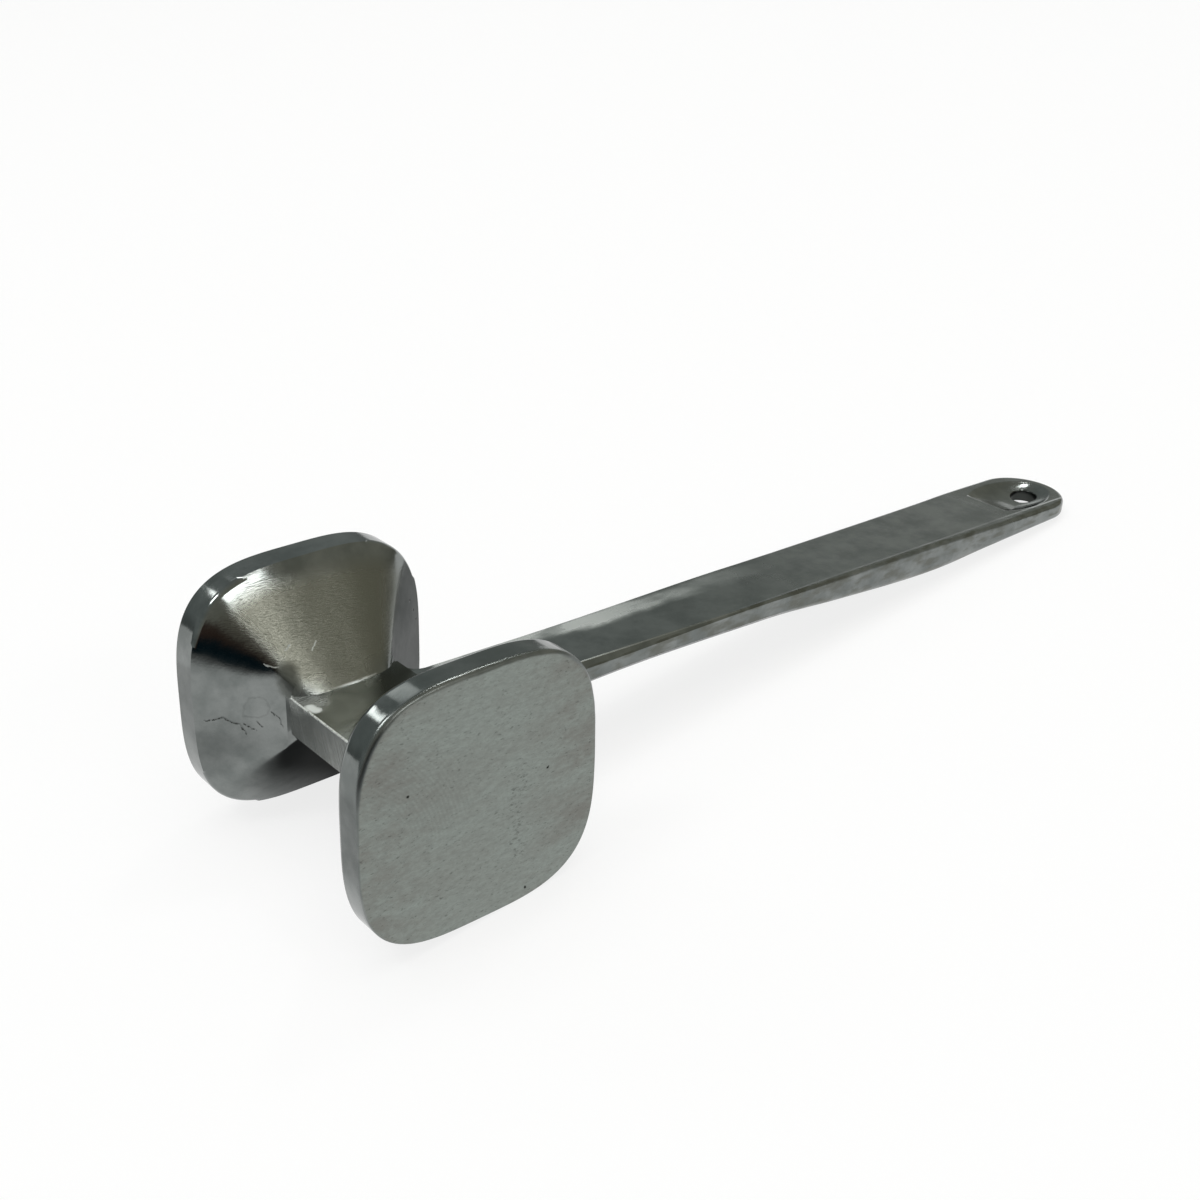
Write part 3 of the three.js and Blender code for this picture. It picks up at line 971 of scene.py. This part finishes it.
def new_metal(name):
    """A metal with its node tree, its shader and millimetres from the middle of the heads."""
    material, tree, shader, _ = new_material(name)
    shader.inputs["Metallic"].default_value = 1
    return material, tree, shader, head_millimetres(tree)


def line_distance(tree, where, points):
    """Distance to a line through points, or to a single point, in the units of where."""
    gaps = []
    for first, second in zip(points, points[1:] or points):
        start = Vector(first)
        run = Vector(second) - start
        along = run / max(run.length_squared, LEAST_RUN)
        share = add(tree, "VectorMath", where, along, operation="DOT_PRODUCT")
        held = add(tree, "Math", share, along.dot(start), operation="SUBTRACT", use_clamp=True)
        foot = add(tree, "VectorMath", held, run, start, operation="MULTIPLY_ADD")
        gaps.append(add(tree, "VectorMath", where, foot, operation="DISTANCE"))
    return chain(tree, "Math", gaps, operation="MINIMUM")


def marks(tree, where, lines, core, soft):
    """One on lines drawn in millimetres, as wide as their core, and fading to zero over a soft edge."""
    wobble = add(tree, "TexNoise", vector=where, scale=1.1, detail=3).outputs["Color"]
    strayed = add(tree, "VectorMath", wobble, [MARK_WANDER] * 3, where, operation="MULTIPLY_ADD")
    centred = add(tree, "VectorMath", strayed, [MARK_WANDER / 2] * 3, operation="SUBTRACT")
    gaps = [line_distance(tree, centred, points) for points in lines]
    gap = chain(tree, "Math", gaps, operation="MINIMUM")
    return add(tree, "MapRange", gap, from_min=core, from_max=core + soft, to_min=1, to_max=0, **SMOOTH)


def hand_buffed(tree, where, finish):
    """Colour, patches, scratches and normal of buffed casting: duller patches, slow waves, fine scratches."""
    patches = add(tree, "TexNoise", vector=where, scale=1 / 9, detail=5, roughness=0.6)
    patchy = add(tree, "MapRange", patches, from_min=0.32, from_max=0.68, **SMOOTH)
    tone = add(tree, "Mix", patchy, finish.casting, finish.casting_dull, **RGBA)
    waves = add(tree, "TexNoise", vector=where, scale=1 / 8, detail=1.5)
    normal = add(tree, "Bump", height=waves, distance=WAVE_DEPTH * MM)
    brushed = add(tree, "Mapping", where, scale=(0.25, 2.4, 1.6))
    scratches = add(tree, "TexNoise", vector=brushed, scale=1.3, detail=4)
    normal = add(tree, "Bump", height=scratches, distance=SCRATCH_DEPTH * MM, normal=normal)
    return tone, patches, scratches, normal


def flare_finish(tree, where, finish):
    """Colour, roughness and normal of a flare: a mirror at its sides, satin on its top and ridges, a painted
    warm reflection on its top, and painted shade on a facet at the far head's root, which has a dull finish
    from scraping.
    """
    tone, _, _, normal = hand_buffed(tree, where, finish)
    satin = add(tree, "Attribute", attribute_name=SATIN).outputs["Fac"]
    # Painted warm reflection on the flare's top
    tone = add(tree, "Mix", satin, tone, finish.painted_warm_reflection, **RGBA)
    # Painted shade on a facet at the far flare's root, which also has a dull finish from scraping
    dull = marks(tree, where, [SCRAPED_SHADED_FACET], core=1.1, soft=2.2)
    scraped_and_shaded = add(tree, "Math", dull, SCRAPED_AND_SHADED_SHARE, operation="MULTIPLY")
    tone = add(tree, "Mix", scraped_and_shaded, tone, finish.scraped_and_shaded, **RGBA)
    strokes = add(tree, "Mapping", where, rotation=(0, 0.6, 0), scale=(0.5, 1, 3))
    fine = add(tree, "TexNoise", vector=strokes, scale=1.7, detail=6)
    depth = add(tree, "Math", fine, satin, operation="MULTIPLY")
    normal = add(tree, "Bump", height=depth, distance=STROKE_DEPTH * MM, normal=normal)
    rough = add(tree, "MapRange", satin, to_min=MIRROR_ROUGH, to_max=SATIN_ROUGH)
    rough = add(tree, "Math", dull, DULL_ROUGH, rough, operation="MULTIPLY_ADD")
    return tone, rough, normal


def mirror_head(name, finish):
    """Buffed aluminium with a casting's flaws: a dirty cold shut, pits, scratches drawn pale with a painted
    glint, and a faint oval mark.
    """
    material, tree, shader, where = new_metal(name)
    tone, rough, normal = flare_finish(tree, where, finish)
    crack = marks(tree, where, COLD_SHUTS, core=0, soft=0.24)
    grains = add(tree, "TexNoise", vector=where, scale=2.2, detail=3)
    broken = add(tree, "MapRange", grains, from_min=0.4, from_max=0.6, to_min=0.1, to_max=0.85)
    crack = add(tree, "Math", crack, broken, operation="MULTIPLY")
    oval = marks(tree, where, [OVAL_MARK], core=0, soft=0.35)
    faint = add(tree, "Math", oval, OVAL_SHARE, operation="MULTIPLY")
    pits = marks(tree, where, FLARE_PITS, core=0.15, soft=0.35)
    flaws = chain(tree, "Math", [crack, faint, pits], operation="MAXIMUM")
    tone = add(tree, "Mix", flaws, tone, finish.dirt_and_shade, **RGBA)
    sunk = add(tree, "Math", 1, flaws, operation="SUBTRACT")
    normal = add(tree, "Bump", height=sunk, distance=FLAW_DEPTH * MM, normal=normal)
    # Scratches drawn pale, partly a painted glint
    scratch = marks(tree, where, BRIGHT_SCRATCHES, core=0.05, soft=0.2)
    tone = add(tree, "Mix", scratch, tone, finish.worn_and_highlight, **RGBA)
    rough = add(tree, "Math", scratch, SCRATCH_ROUGH, rough, operation="MULTIPLY_ADD")
    fill(tree, shader, {"Base Color": tone, "Roughness": rough, "Normal": normal})
    return material


def ground_head(name, finish, face_at):
    """Buffed head whose striking face is ground flat: matt and mottled, with arcs, stains and pits."""
    material, tree, shader, where = new_metal(name)
    tone, rough, normal = flare_finish(tree, where, finish)
    place = add(tree, "SeparateXYZ", where)
    y = place.outputs["Y"]
    by = -face_at + GROUND_BLUR
    ground = add(tree, "MapRange", y, from_min=-face_at, from_max=by, to_min=1, to_max=0)

    streaks = add(tree, "Mapping", where, rotation=(0, 0.9, 0), scale=(0.55, 1, 1.3))
    mottle = add(tree, "TexNoise", vector=streaks, scale=0.9, detail=9, roughness=0.8)
    shade = add(tree, "MapRange", mottle, from_min=0.34, from_max=0.66, **SMOOTH)
    face = add(tree, "Mix", shade, finish.face, finish.face_dark, **RGBA)

    # Arcs of the last grinding pass, strongest along a short line
    centre = add(tree, "VectorMath", where, ARC_CENTRE, operation="SUBTRACT")
    rings = {"wave_type": "RINGS", "rings_direction": "Y"}
    arcs = add(tree, "TexWave", centre, scale=0.36, distortion=6, detail=4, detail_scale=0.5, **rings)
    gap = line_distance(tree, where, ARC_REACH)
    reach = add(tree, "MapRange", gap, from_min=2, from_max=11, to_min=ARC_STRENGTH, to_max=0.05, **SMOOTH)
    arc = add(tree, "Math", arcs.outputs["Fac"], reach, operation="MULTIPLY")
    face = add(tree, "Mix", arc, face, finish.face_dark, **RGBA)

    # Brownish stains, stronger towards the left and right margins
    across = add(tree, "Math", place.outputs["X"], operation="ABSOLUTE")
    margin = add(tree, "MapRange", across, from_min=4, from_max=27.5, to_min=0.2, to_max=0.6, **SMOOTH)
    warm = add(tree, "TexNoise", vector=streaks, scale=0.09, detail=8, roughness=0.75)
    brownish = add(tree, "MapRange", warm, from_min=0.36, from_max=0.68, **SMOOTH)
    stain = add(tree, "Math", margin, brownish, operation="MULTIPLY")
    face = add(tree, "Mix", stain, face, finish.face_stain, **RGBA)

    # Grit, denser in a band and in smudges, and three larger pits
    band = marks(tree, where, [STAIN_BAND], core=0, soft=3.4)
    smudge = marks(tree, where, FACE_SMUDGES, core=0.1, soft=0.9)
    soiled = add(tree, "Math", band, smudge, operation="MAXIMUM")
    grit = add(tree, "TexNoise", vector=streaks, scale=1.7, detail=4, roughness=0.7)
    least = add(tree, "MapRange", soiled, to_min=GRIT_RARE, to_max=GRIT_DENSE)
    over = add(tree, "Math", grit, least, operation="SUBTRACT")
    fine_pits = add(tree, "MapRange", over, from_max=0.08, to_max=0.42)
    face = add(tree, "Mix", fine_pits, face, finish.dirt_and_shade, **RGBA)
    pits = marks(tree, where, FACE_PITS, core=0.15, soft=0.3)
    face = add(tree, "Mix", pits, face, finish.dirt_and_shade, **RGBA)
    tone = add(tree, "Mix", ground, tone, face, **RGBA)

    matt = add(tree, "Math", mottle, FACE_ROUGH_STRAY, FACE_ROUGH, operation="MULTIPLY_ADD")
    edge_at, edge_by = -face_at + ROUNDING_FROM, -face_at + ROUNDING_BY
    rounding = add(tree, "MapRange", y, from_min=edge_at, from_max=edge_by, to_min=ROUNDING_ROUGH, to_max=0)
    rough = add(tree, "Math", rough, rounding, operation="ADD")
    rough = add(tree, "Mix", ground, rough, matt)
    grain = add(tree, "TexNoise", vector=where, scale=1.6, detail=6)
    relief = add(tree, "Math", arc, ARC_RELIEF, grain, operation="MULTIPLY_ADD")
    relief = add(tree, "Math", relief, ground, operation="MULTIPLY")
    normal = add(tree, "Bump", height=relief, distance=GRAIN_DEPTH * MM, normal=normal)
    fill(tree, shader, {"Base Color": tone, "Roughness": rough, "Normal": normal})
    return material


def handle_casting(name, finish, block_height, hole_at, hole_radius):
    """Buffed bar: satin and cool on top, with painted pale reflections and painted highlights by the heads,
    and mottled at its sides.
    """
    material, tree, shader, where = new_metal(name)
    tone, patches, scratches, normal = hand_buffed(tree, where, finish)
    place = add(tree, "SeparateXYZ", where)
    x, y = place.outputs["X"], place.outputs["Y"]
    height = add(tree, "Math", place.outputs["Z"], operation="ABSOLUTE")

    # Painted pale reflection: a cloudy band on the bar's far side; painted highlights: a corner of the block
    # and a spot beside it
    stretched = add(tree, "Mapping", where, scale=(0.4, 1, 1))
    blotches = add(tree, "TexNoise", vector=stretched, scale=0.18, detail=3)
    stray = add(tree, "Math", blotches, PALE_STRAY, operation="MULTIPLY")
    gap = add(tree, "Math", line_distance(tree, where, PALE_BAND), stray, operation="ADD")
    core, rim = PALE_STRAY / 2 + PALE_CORE, PALE_STRAY / 2 + PALE_EDGE
    band = add(tree, "MapRange", gap, from_min=core, from_max=rim, to_min=1, to_max=0, **SMOOTH)
    fade = add(tree, "MapRange", x, from_min=60, from_max=115, to_min=0.68, to_max=0)
    cloudy = add(tree, "MapRange", blotches, from_min=0.4, from_max=0.62, to_min=1, to_max=0.35)
    pale = chain(tree, "Math", [band, fade, cloudy], operation="MULTIPLY")
    # Painted highlights on a corner of the block and a spot beside it, broken up by scratches
    bright = add(tree, "MapRange", scratches, from_min=0.2, from_max=0.5, to_min=0.05, to_max=0.5)
    corner = marks(tree, where, [CORNER_HIGHLIGHT], core=1.4, soft=2.6)
    corner = add(tree, "Math", corner, bright, operation="MULTIPLY")
    spot = marks(tree, where, [SPOT_HIGHLIGHT], core=0.5, soft=1.4)
    corner = add(tree, "Math", corner, spot, operation="MAXIMUM")
    worn_and_highlight = add(tree, "Math", pale, corner, operation="MAXIMUM")
    tone = add(tree, "Mix", worn_and_highlight, tone, finish.worn_and_highlight, **RGBA)

    rough = add(tree, "MapRange", patches, from_min=0.3, from_max=0.7, to_min=MIRROR_ROUGH, to_max=BAR_ROUGH)
    rough = add(tree, "Math", worn_and_highlight, HIGHLIGHT_ROUGH, rough, operation="MULTIPLY_ADD")
    for start, end, more in GRIP_FINISH:
        softer = add(tree, "MapRange", x, from_min=start, from_max=end, to_max=more, **SMOOTH)
        rough = add(tree, "Math", rough, softer, operation="ADD")

    # Upright file strokes on the block's end, and lumps along the bar's near side
    across = add(tree, "VectorMath", where, SIDE_STROKES, operation="DOT_PRODUCT")
    strokes = add(tree, "TexNoise", noise_dimensions="1D", w=across, scale=1, detail=4, roughness=0.7)
    side = add(tree, "MapRange", x, from_min=-12.75, from_max=-12.5, to_min=1, to_max=0)
    stroke = add(tree, "Math", strokes, side, operation="MULTIPLY")
    struck = add(tree, "MapRange", stroke, from_min=0.4, from_max=0.65, to_max=0.8)
    tone = add(tree, "Mix", struck, tone, finish.side_dull, **RGBA)
    normal = add(tree, "Bump", height=stroke, distance=STROKE_DEPTH * MM, normal=normal)
    near_side = add(tree, "MapRange", y, from_min=-9.4, from_max=-8.8, to_min=1, to_max=0)
    lumps = add(tree, "TexNoise", vector=stretched, scale=0.45, detail=3)
    lump = add(tree, "Math", lumps, near_side, operation="MULTIPLY")
    dull = add(tree, "MapRange", lump, from_min=0.42, from_max=0.68, to_max=0.85, **SMOOTH)
    tone = add(tree, "Mix", dull, tone, finish.side_dull, **RGBA)
    normal = add(tree, "Bump", height=lump, distance=LUMP_DEPTH * MM, normal=normal)

    # Painted shade in the hang hole, and painted shade on the waist's flat top between the heads where no
    # painted highlight lies
    gap = line_distance(tree, where, [(hole_at, 0, -HOLE_REACH), (hole_at, 0, HOLE_REACH)])
    by = hole_radius + HOLE_SHADE_REACH
    hole_shade = add(tree, "MapRange", gap, from_min=hole_radius, from_max=by, to_min=0.8, to_max=0)
    tone = add(tree, "Mix", hole_shade, tone, finish.dirt_and_shade, **RGBA)
    # Painted shade on the waist's flat top between the heads
    flat = add(tree, "Math", height, block_height / 2 - FLAT_BELOW, operation="GREATER_THAN")
    waist = marks(tree, where, [WAIST_SHADE_LINE], core=8, soft=11)
    waist = add(tree, "Math", waist, WAIST_SHADE_SHARE, operation="MULTIPLY")
    clear = add(tree, "Math", 1, worn_and_highlight, operation="SUBTRACT")
    waist_shade = chain(tree, "Math", [flat, waist, clear], operation="MULTIPLY")
    tone = add(tree, "Mix", waist_shade, tone, finish.scraped_and_shaded, **RGBA)

    # The start of each flare has the heads' finish
    flare_tone, flare_rough, flare_normal = flare_finish(tree, where, finish)
    far = add(tree, "Math", y, operation="ABSOLUTE")
    raised = add(tree, "Math", height, block_height / 2 + FOOT_ABOVE, operation="GREATER_THAN")
    at_seat = add(tree, "Math", far, FOOT_FROM, operation="GREATER_THAN")
    foot = add(tree, "Math", raised, at_seat, operation="MULTIPLY")
    tone = add(tree, "Mix", foot, tone, flare_tone, **RGBA)
    rough = add(tree, "Mix", foot, rough, flare_rough)
    normal = add(tree, "Mix", foot, normal, flare_normal, data_type="VECTOR")

    # Painted highlight lines along edges, broken up by scratches and fading along the bar
    along = add(tree, "MapRange", x, from_min=20, from_max=75, to_min=1, to_max=0.1, **SMOOTH)
    lines = 0
    for points, reach, least in EDGE_HIGHLIGHTS:
        gap = line_distance(tree, where, points)
        near = add(tree, "MapRange", gap, from_min=0.08, from_max=reach, to_min=1, to_max=0, **SMOOTH)
        glinting = add(tree, "MapRange", scratches, from_min=least, from_max=least + 0.1)
        line = chain(tree, "Math", [near, glinting, along], operation="MULTIPLY")
        lines = add(tree, "Math", line, lines, operation="MAXIMUM")
    tone = add(tree, "Mix", lines, tone, finish.worn_and_highlight, **RGBA)
    worn_and_highlight = add(tree, "Math", worn_and_highlight, lines, operation="MAXIMUM")
    # Painted highlights and pale reflections lose most of their metal look
    metallic = add(tree, "Math", worn_and_highlight, -HIGHLIGHT_NON_METAL, 1, operation="MULTIPLY_ADD")
    inputs = {"Base Color": tone, "Roughness": rough, "Normal": normal, "Metallic": metallic}
    fill(tree, shader, inputs)
    return material


def turned_steel(name, finish):
    """Plain turned steel: grey, with fine rings round the pin."""
    material, tree, shader, where = new_metal(name)
    rings = add(tree, "TexWave", where, scale=1 / 1.2, distortion=0.3, bands_direction="Y")
    bump = add(tree, "Bump", height=rings.outputs["Fac"], strength=0.2, distance=RING_DEPTH * MM)
    fill(tree, shader, {"Base Color": finish.steel, "Roughness": STEEL_ROUGH, "Normal": bump})
    return material


# Operators


class TENDERIZER_OT_smooth_head(bpy.types.Operator):
    """Builds the near head with its smooth ground face"""

    bl_idname = "tenderizer.smooth_head"
    bl_label = "Smooth head"

    def execute(self, context):
        scene = context.scene
        made = smooth_head_mesh(scene.tenderizer_heads, scene.tenderizer_handle.block_length / 2)
        face_at = (HEAD_FRAME.inverted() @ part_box("smooth_head")[0]).y
        metal = ground_head("aluminium_ground_smooth_head", scene.tenderizer_finish, -face_at / MM)
        made.data.materials.append(metal)
        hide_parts("smooth_head")
        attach(made, "root")
        return {"FINISHED"}


class TENDERIZER_OT_toothed_head(bpy.types.Operator):
    """Builds the far head with its toothed face"""

    bl_idname = "tenderizer.toothed_head"
    bl_label = "Toothed head"

    def execute(self, context):
        scene = context.scene
        made = toothed_head_mesh(scene.tenderizer_heads, scene.tenderizer_handle.block_length / 2)
        made.data.materials.append(mirror_head("aluminium_buffed_toothed_head", scene.tenderizer_finish))
        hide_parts("toothed_head")
        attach(made, "root")
        return {"FINISHED"}


class TENDERIZER_OT_handle(bpy.types.Operator):
    """Builds the handle, in one with the waist block"""

    bl_idname = "tenderizer.handle"
    bl_label = "Handle"

    def execute(self, context):
        scene = context.scene
        made = handle_mesh(scene.tenderizer_handle, scene.tenderizer_heads)
        places = casting_places(scene.tenderizer_handle)
        metal = handle_casting("aluminium_buffed_handle", scene.tenderizer_finish, *places)
        made.data.materials.append(metal)
        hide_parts("handle")
        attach(made, "root")
        return {"FINISHED"}


class TENDERIZER_OT_pins(bpy.types.Operator):
    """Gives the tie stud and the dowel pins their steel"""

    bl_idname = "tenderizer.pins"
    bl_label = "Pins"

    def execute(self, context):
        steel = turned_steel("steel_turned", context.scene.tenderizer_finish)
        for name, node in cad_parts.items():
            if name == "tie_stud" or "_dowel_" in name:
                node.data.materials.clear()
                node.data.materials.append(steel)
        return {"FINISHED"}


class TENDERIZER_OT_stage(bpy.types.Operator):
    """Sets the floor, the light and the camera"""

    bl_idname = "tenderizer.stage"
    bl_label = "Stage"

    def execute(self, context):
        scene = context.scene
        finish = scene.tenderizer_finish
        make_floor(finish)
        make_world(scene, finish)
        for name, lamp in LAMPS.items():
            make_lamp(name, *lamp)
        make_cloth(finish)
        make_camera(scene, scene.tenderizer_stage)
        scene.view_settings.view_transform = "Standard"
        return {"FINISHED"}


# Stage

FLOOR_RADIUS = 4
FLOOR_ROUGH = 0.9
FLOOR_SEEN_GLOW = 0.8
FLOOR_MIRRORED = 0.84

# Shades on the mirrored floor: two ends in millimetres from below the heads, core, soft edge, brightness
FLOOR_SHADES = [
    ((30, 45, 0), (220, 45, 0), 22, 30, 0.3),
    ((-60, 12, 0), (-68, 100, 0), 12, 18, 0.62),
    ((-267, -1, 0), (-195, -156, 0), 15, 115, 0.14),
    ((-195, -156, 0), (-70, -224, 0), 15, 115, 0.14),
    ((0, 4, 0), (14, 9, 0), 18, 15, 0.05),
]

# Dark cloth that the far head mirrors: distance and, by azimuth, its low and high elevation in degrees
CLOTH_CENTRE = (-18, 21, 8)
CLOTH_DISTANCE = 0.25
CLOTH_COLUMNS = [
    (-85, -24, -3),
    (-60, -24, 2),
    (-47, -24, 7),
    (-36, -23, 15),
    (-25, -22, 23),
    (-12, -20, 28.5),
    (-7, -20, 29),
]

# Soft lamps: azimuth and elevation in degrees, width, height, glow, and whether the metal mirrors them
LAMP_DISTANCE = 3
LAMPS = {
    "overhead_softbox": (0, 90, 3, 3, 1.7, False),
    "front_softbox": (9, 33, 1.65, 0.34, 6, True),
    "back_lamp": (-161, 38, 0.5, 0.4, 4.5, True),
    "back_glow": (164, 41, 0.8, 0.4, 0.8, True),
    "left_lamp": (-97, 61, 0.7, 0.7, 9, True),
    "side_lamp": (107, 56, 0.36, 0.36, 15, True),
    "far_glow": (121, 3, 1.2, 0.5, 0.65, True),
}
WARM_AZIMUTH = 30


def direction(azimuth, elevation):
    """Unit vector from the object: azimuth from -Y towards +X, elevation above the horizon, in radians."""
    level = math.cos(elevation)
    return Vector((math.sin(azimuth) * level, -math.cos(azimuth) * level, math.sin(elevation)))


def make_floor(finish):
    """Pale floor that glows a little, and that the metal mirrors with soft shades in it."""
    bm = bmesh.new()
    bmesh.ops.create_circle(bm, segments=64, radius=FLOOR_RADIUS, cap_ends=True)
    made = mesh_object("floor", bm)
    material, tree, shader, output = new_material("paper_floor")
    fill(tree, shader, {"Base Color": finish.floor, "Roughness": FLOOR_ROUGH})
    place = add(tree, "TexCoord").outputs["Object"]
    heads = HEAD_FRAME.to_translation() * Vector((1, 1, 0))
    lit = FLOOR_MIRRORED
    for start, end, core, soft, shaded in FLOOR_SHADES:
        gap = line_distance(tree, place, [heads + Vector(start) * MM, heads + Vector(end) * MM])
        by = (core + soft) * MM
        lit = add(tree, "MapRange", gap, from_min=core * MM, from_max=by, to_min=shaded, to_max=lit, **SMOOTH)
    path = add(tree, "LightPath").outputs
    glossy, clear = path["Is Glossy Ray"], path["Is Transmission Ray"]
    mirrored = add(tree, "Math", glossy, clear, operation="MAXIMUM")
    share = add(tree, "Math", path["Is Camera Ray"], FLOOR_SEEN_GLOW, mirrored, operation="MULTIPLY_ADD")
    strength = add(tree, "Mix", mirrored, 1, lit)
    glow = add(tree, "Emission", finish.floor, strength)
    mixed = add(tree, "MixShader", share, shader, glow)
    fill(tree, output, {"Surface": mixed})
    made.data.materials.append(material)


def make_world(scene, finish):
    """Grey room light, warmer in front and cooler behind, dimmer low down, and white to the camera."""
    world = bpy.data.worlds.new("studio")
    world.use_nodes = True
    scene.world = world
    tree = world.node_tree
    place = add(tree, "TexCoord").outputs["Generated"]
    warm_side = add(
        tree, "VectorMath", place, direction(math.radians(WARM_AZIMUTH), 0), operation="DOT_PRODUCT"
    )
    share = add(tree, "MapRange", warm_side, from_min=-0.6, from_max=0.6, **SMOOTH)
    room = add(tree, "Mix", share, finish.room_cool, finish.room_warm, **RGBA)
    height = add(tree, "SeparateXYZ", place).outputs["Z"]
    low = add(tree, "MapRange", height, from_min=0, from_max=0.25, to_min=0.6, to_max=1, **SMOOTH)
    background = tree.nodes["Background"]
    fill(tree, background, {"Color": room, "Strength": low})
    white = add(tree, "Background", finish.floor, 1)
    seen = add(tree, "LightPath").outputs["Is Camera Ray"]
    mixed = add(tree, "MixShader", seen, background, white)
    fill(tree, tree.nodes["World Output"], {"Surface": mixed})


def make_lamp(name, azimuth, elevation, width, height, glow, mirrored):
    """Soft lamp whose surface is as bright as glow times white paper, and that the metal may mirror."""
    lamp = bpy.data.lights.new(name, "AREA")
    lamp.shape = "RECTANGLE"
    lamp.size = width
    lamp.size_y = height
    lamp.energy = glow * math.pi * width * height
    made = new_object(name, lamp)
    made.visible_camera = False
    made.visible_glossy = mirrored
    way = direction(math.radians(azimuth), math.radians(elevation))
    made.location = HEAD_FRAME.to_translation() + way * LAMP_DISTANCE
    made.rotation_euler = way.to_track_quat("Z", "Y").to_euler()


def make_cloth(finish):
    """Dark cloth that only shows in the metal: lit at its hem, then cool, and warmer at its top."""
    bm = bmesh.new()
    last = len(CLOTH_COLUMNS) - 1
    bmesh.ops.create_grid(bm, x_segments=last, y_segments=1, size=1)
    rises = []
    for vert in bm.verts:
        azimuth, low, high = CLOTH_COLUMNS[round((vert.co.x + 1) / 2 * last)]
        above = vert.co.y > 0
        rises.append(float(above))
        elevation = high if above else low
        vert.co = direction(math.radians(azimuth), math.radians(elevation)) * CLOTH_DISTANCE
    made = mesh_object("dark_cloth", bm)
    made.data.attributes.new("rise", "FLOAT", "POINT").data.foreach_set("value", rises)
    material, tree, _, output = new_material("dark_cloth")
    rise = add(tree, "Attribute", attribute_name="rise").outputs["Fac"]
    share = add(tree, "MapRange", rise, from_min=0.7, from_max=0.82, **SMOOTH)
    shade = add(tree, "Mix", share, finish.cloth_low, finish.cloth_high, **RGBA)
    hem = add(tree, "MapRange", rise, from_max=0.62, to_min=1, to_max=0, **SMOOTH)
    shade = add(tree, "Mix", hem, shade, finish.cloth_hem, **RGBA)
    fill(tree, output, {"Surface": add(tree, "Emission", shade, 1)})
    made.data.materials.append(material)
    made.location = HEAD_FRAME @ (Vector(CLOTH_CENTRE) * MM)
    made.visible_camera = False
    made.visible_diffuse = False
    made.visible_shadow = False


def make_camera(scene, stage):
    back = direction(stage.azimuth, stage.elevation)
    right = Vector((math.cos(stage.azimuth), math.sin(stage.azimuth), 0))
    right.rotate(Matrix.Rotation(stage.roll, 3, back))
    up = back.cross(right)
    target = HEAD_FRAME.to_translation() + Vector(stage.target)
    matrix = Matrix((right, up, back)).transposed().to_4x4()
    matrix.translation = target + back * stage.distance
    data = bpy.data.cameras.new("camera")
    data.lens = stage.lens
    data.sensor_width = 36
    data.clip_start = 0.01
    camera = new_object("camera", data)
    camera.matrix_world = matrix
    scene.camera = camera


class TENDERIZER_PT_panel(bpy.types.Panel):
    """Lists the steps that build the tenderizer"""

    bl_idname = "TENDERIZER_PT_panel"
    bl_label = "Meat tenderizer"
    bl_space_type = "VIEW_3D"
    bl_region_type = "UI"
    bl_category = "Tenderizer"

    def draw(self, context):
        for operator in OPERATORS:
            self.layout.operator(operator.bl_idname)


GROUPS = {
    "tenderizer_heads": HeadSizes,
    "tenderizer_handle": HandleSizes,
    "tenderizer_finish": Finish,
    "tenderizer_stage": Stage,
}
OPERATORS = (
    TENDERIZER_OT_handle,
    TENDERIZER_OT_smooth_head,
    TENDERIZER_OT_toothed_head,
    TENDERIZER_OT_pins,
    TENDERIZER_OT_stage,
)


def register():
    for cls in (*GROUPS.values(), *OPERATORS, TENDERIZER_PT_panel):
        bpy.utils.register_class(cls)
    for name, group in GROUPS.items():
        setattr(bpy.types.Scene, name, bpy.props.PointerProperty(type=group))


def unregister():
    for name in GROUPS:
        delattr(bpy.types.Scene, name)
    for cls in reversed((*GROUPS.values(), *OPERATORS, TENDERIZER_PT_panel)):
        bpy.utils.unregister_class(cls)


def main():
    register()
    bpy.ops.tenderizer.handle()
    bpy.ops.tenderizer.smooth_head()
    bpy.ops.tenderizer.toothed_head()
    bpy.ops.tenderizer.pins()
    bpy.ops.tenderizer.stage()


if __name__ == "__main__":
    main()
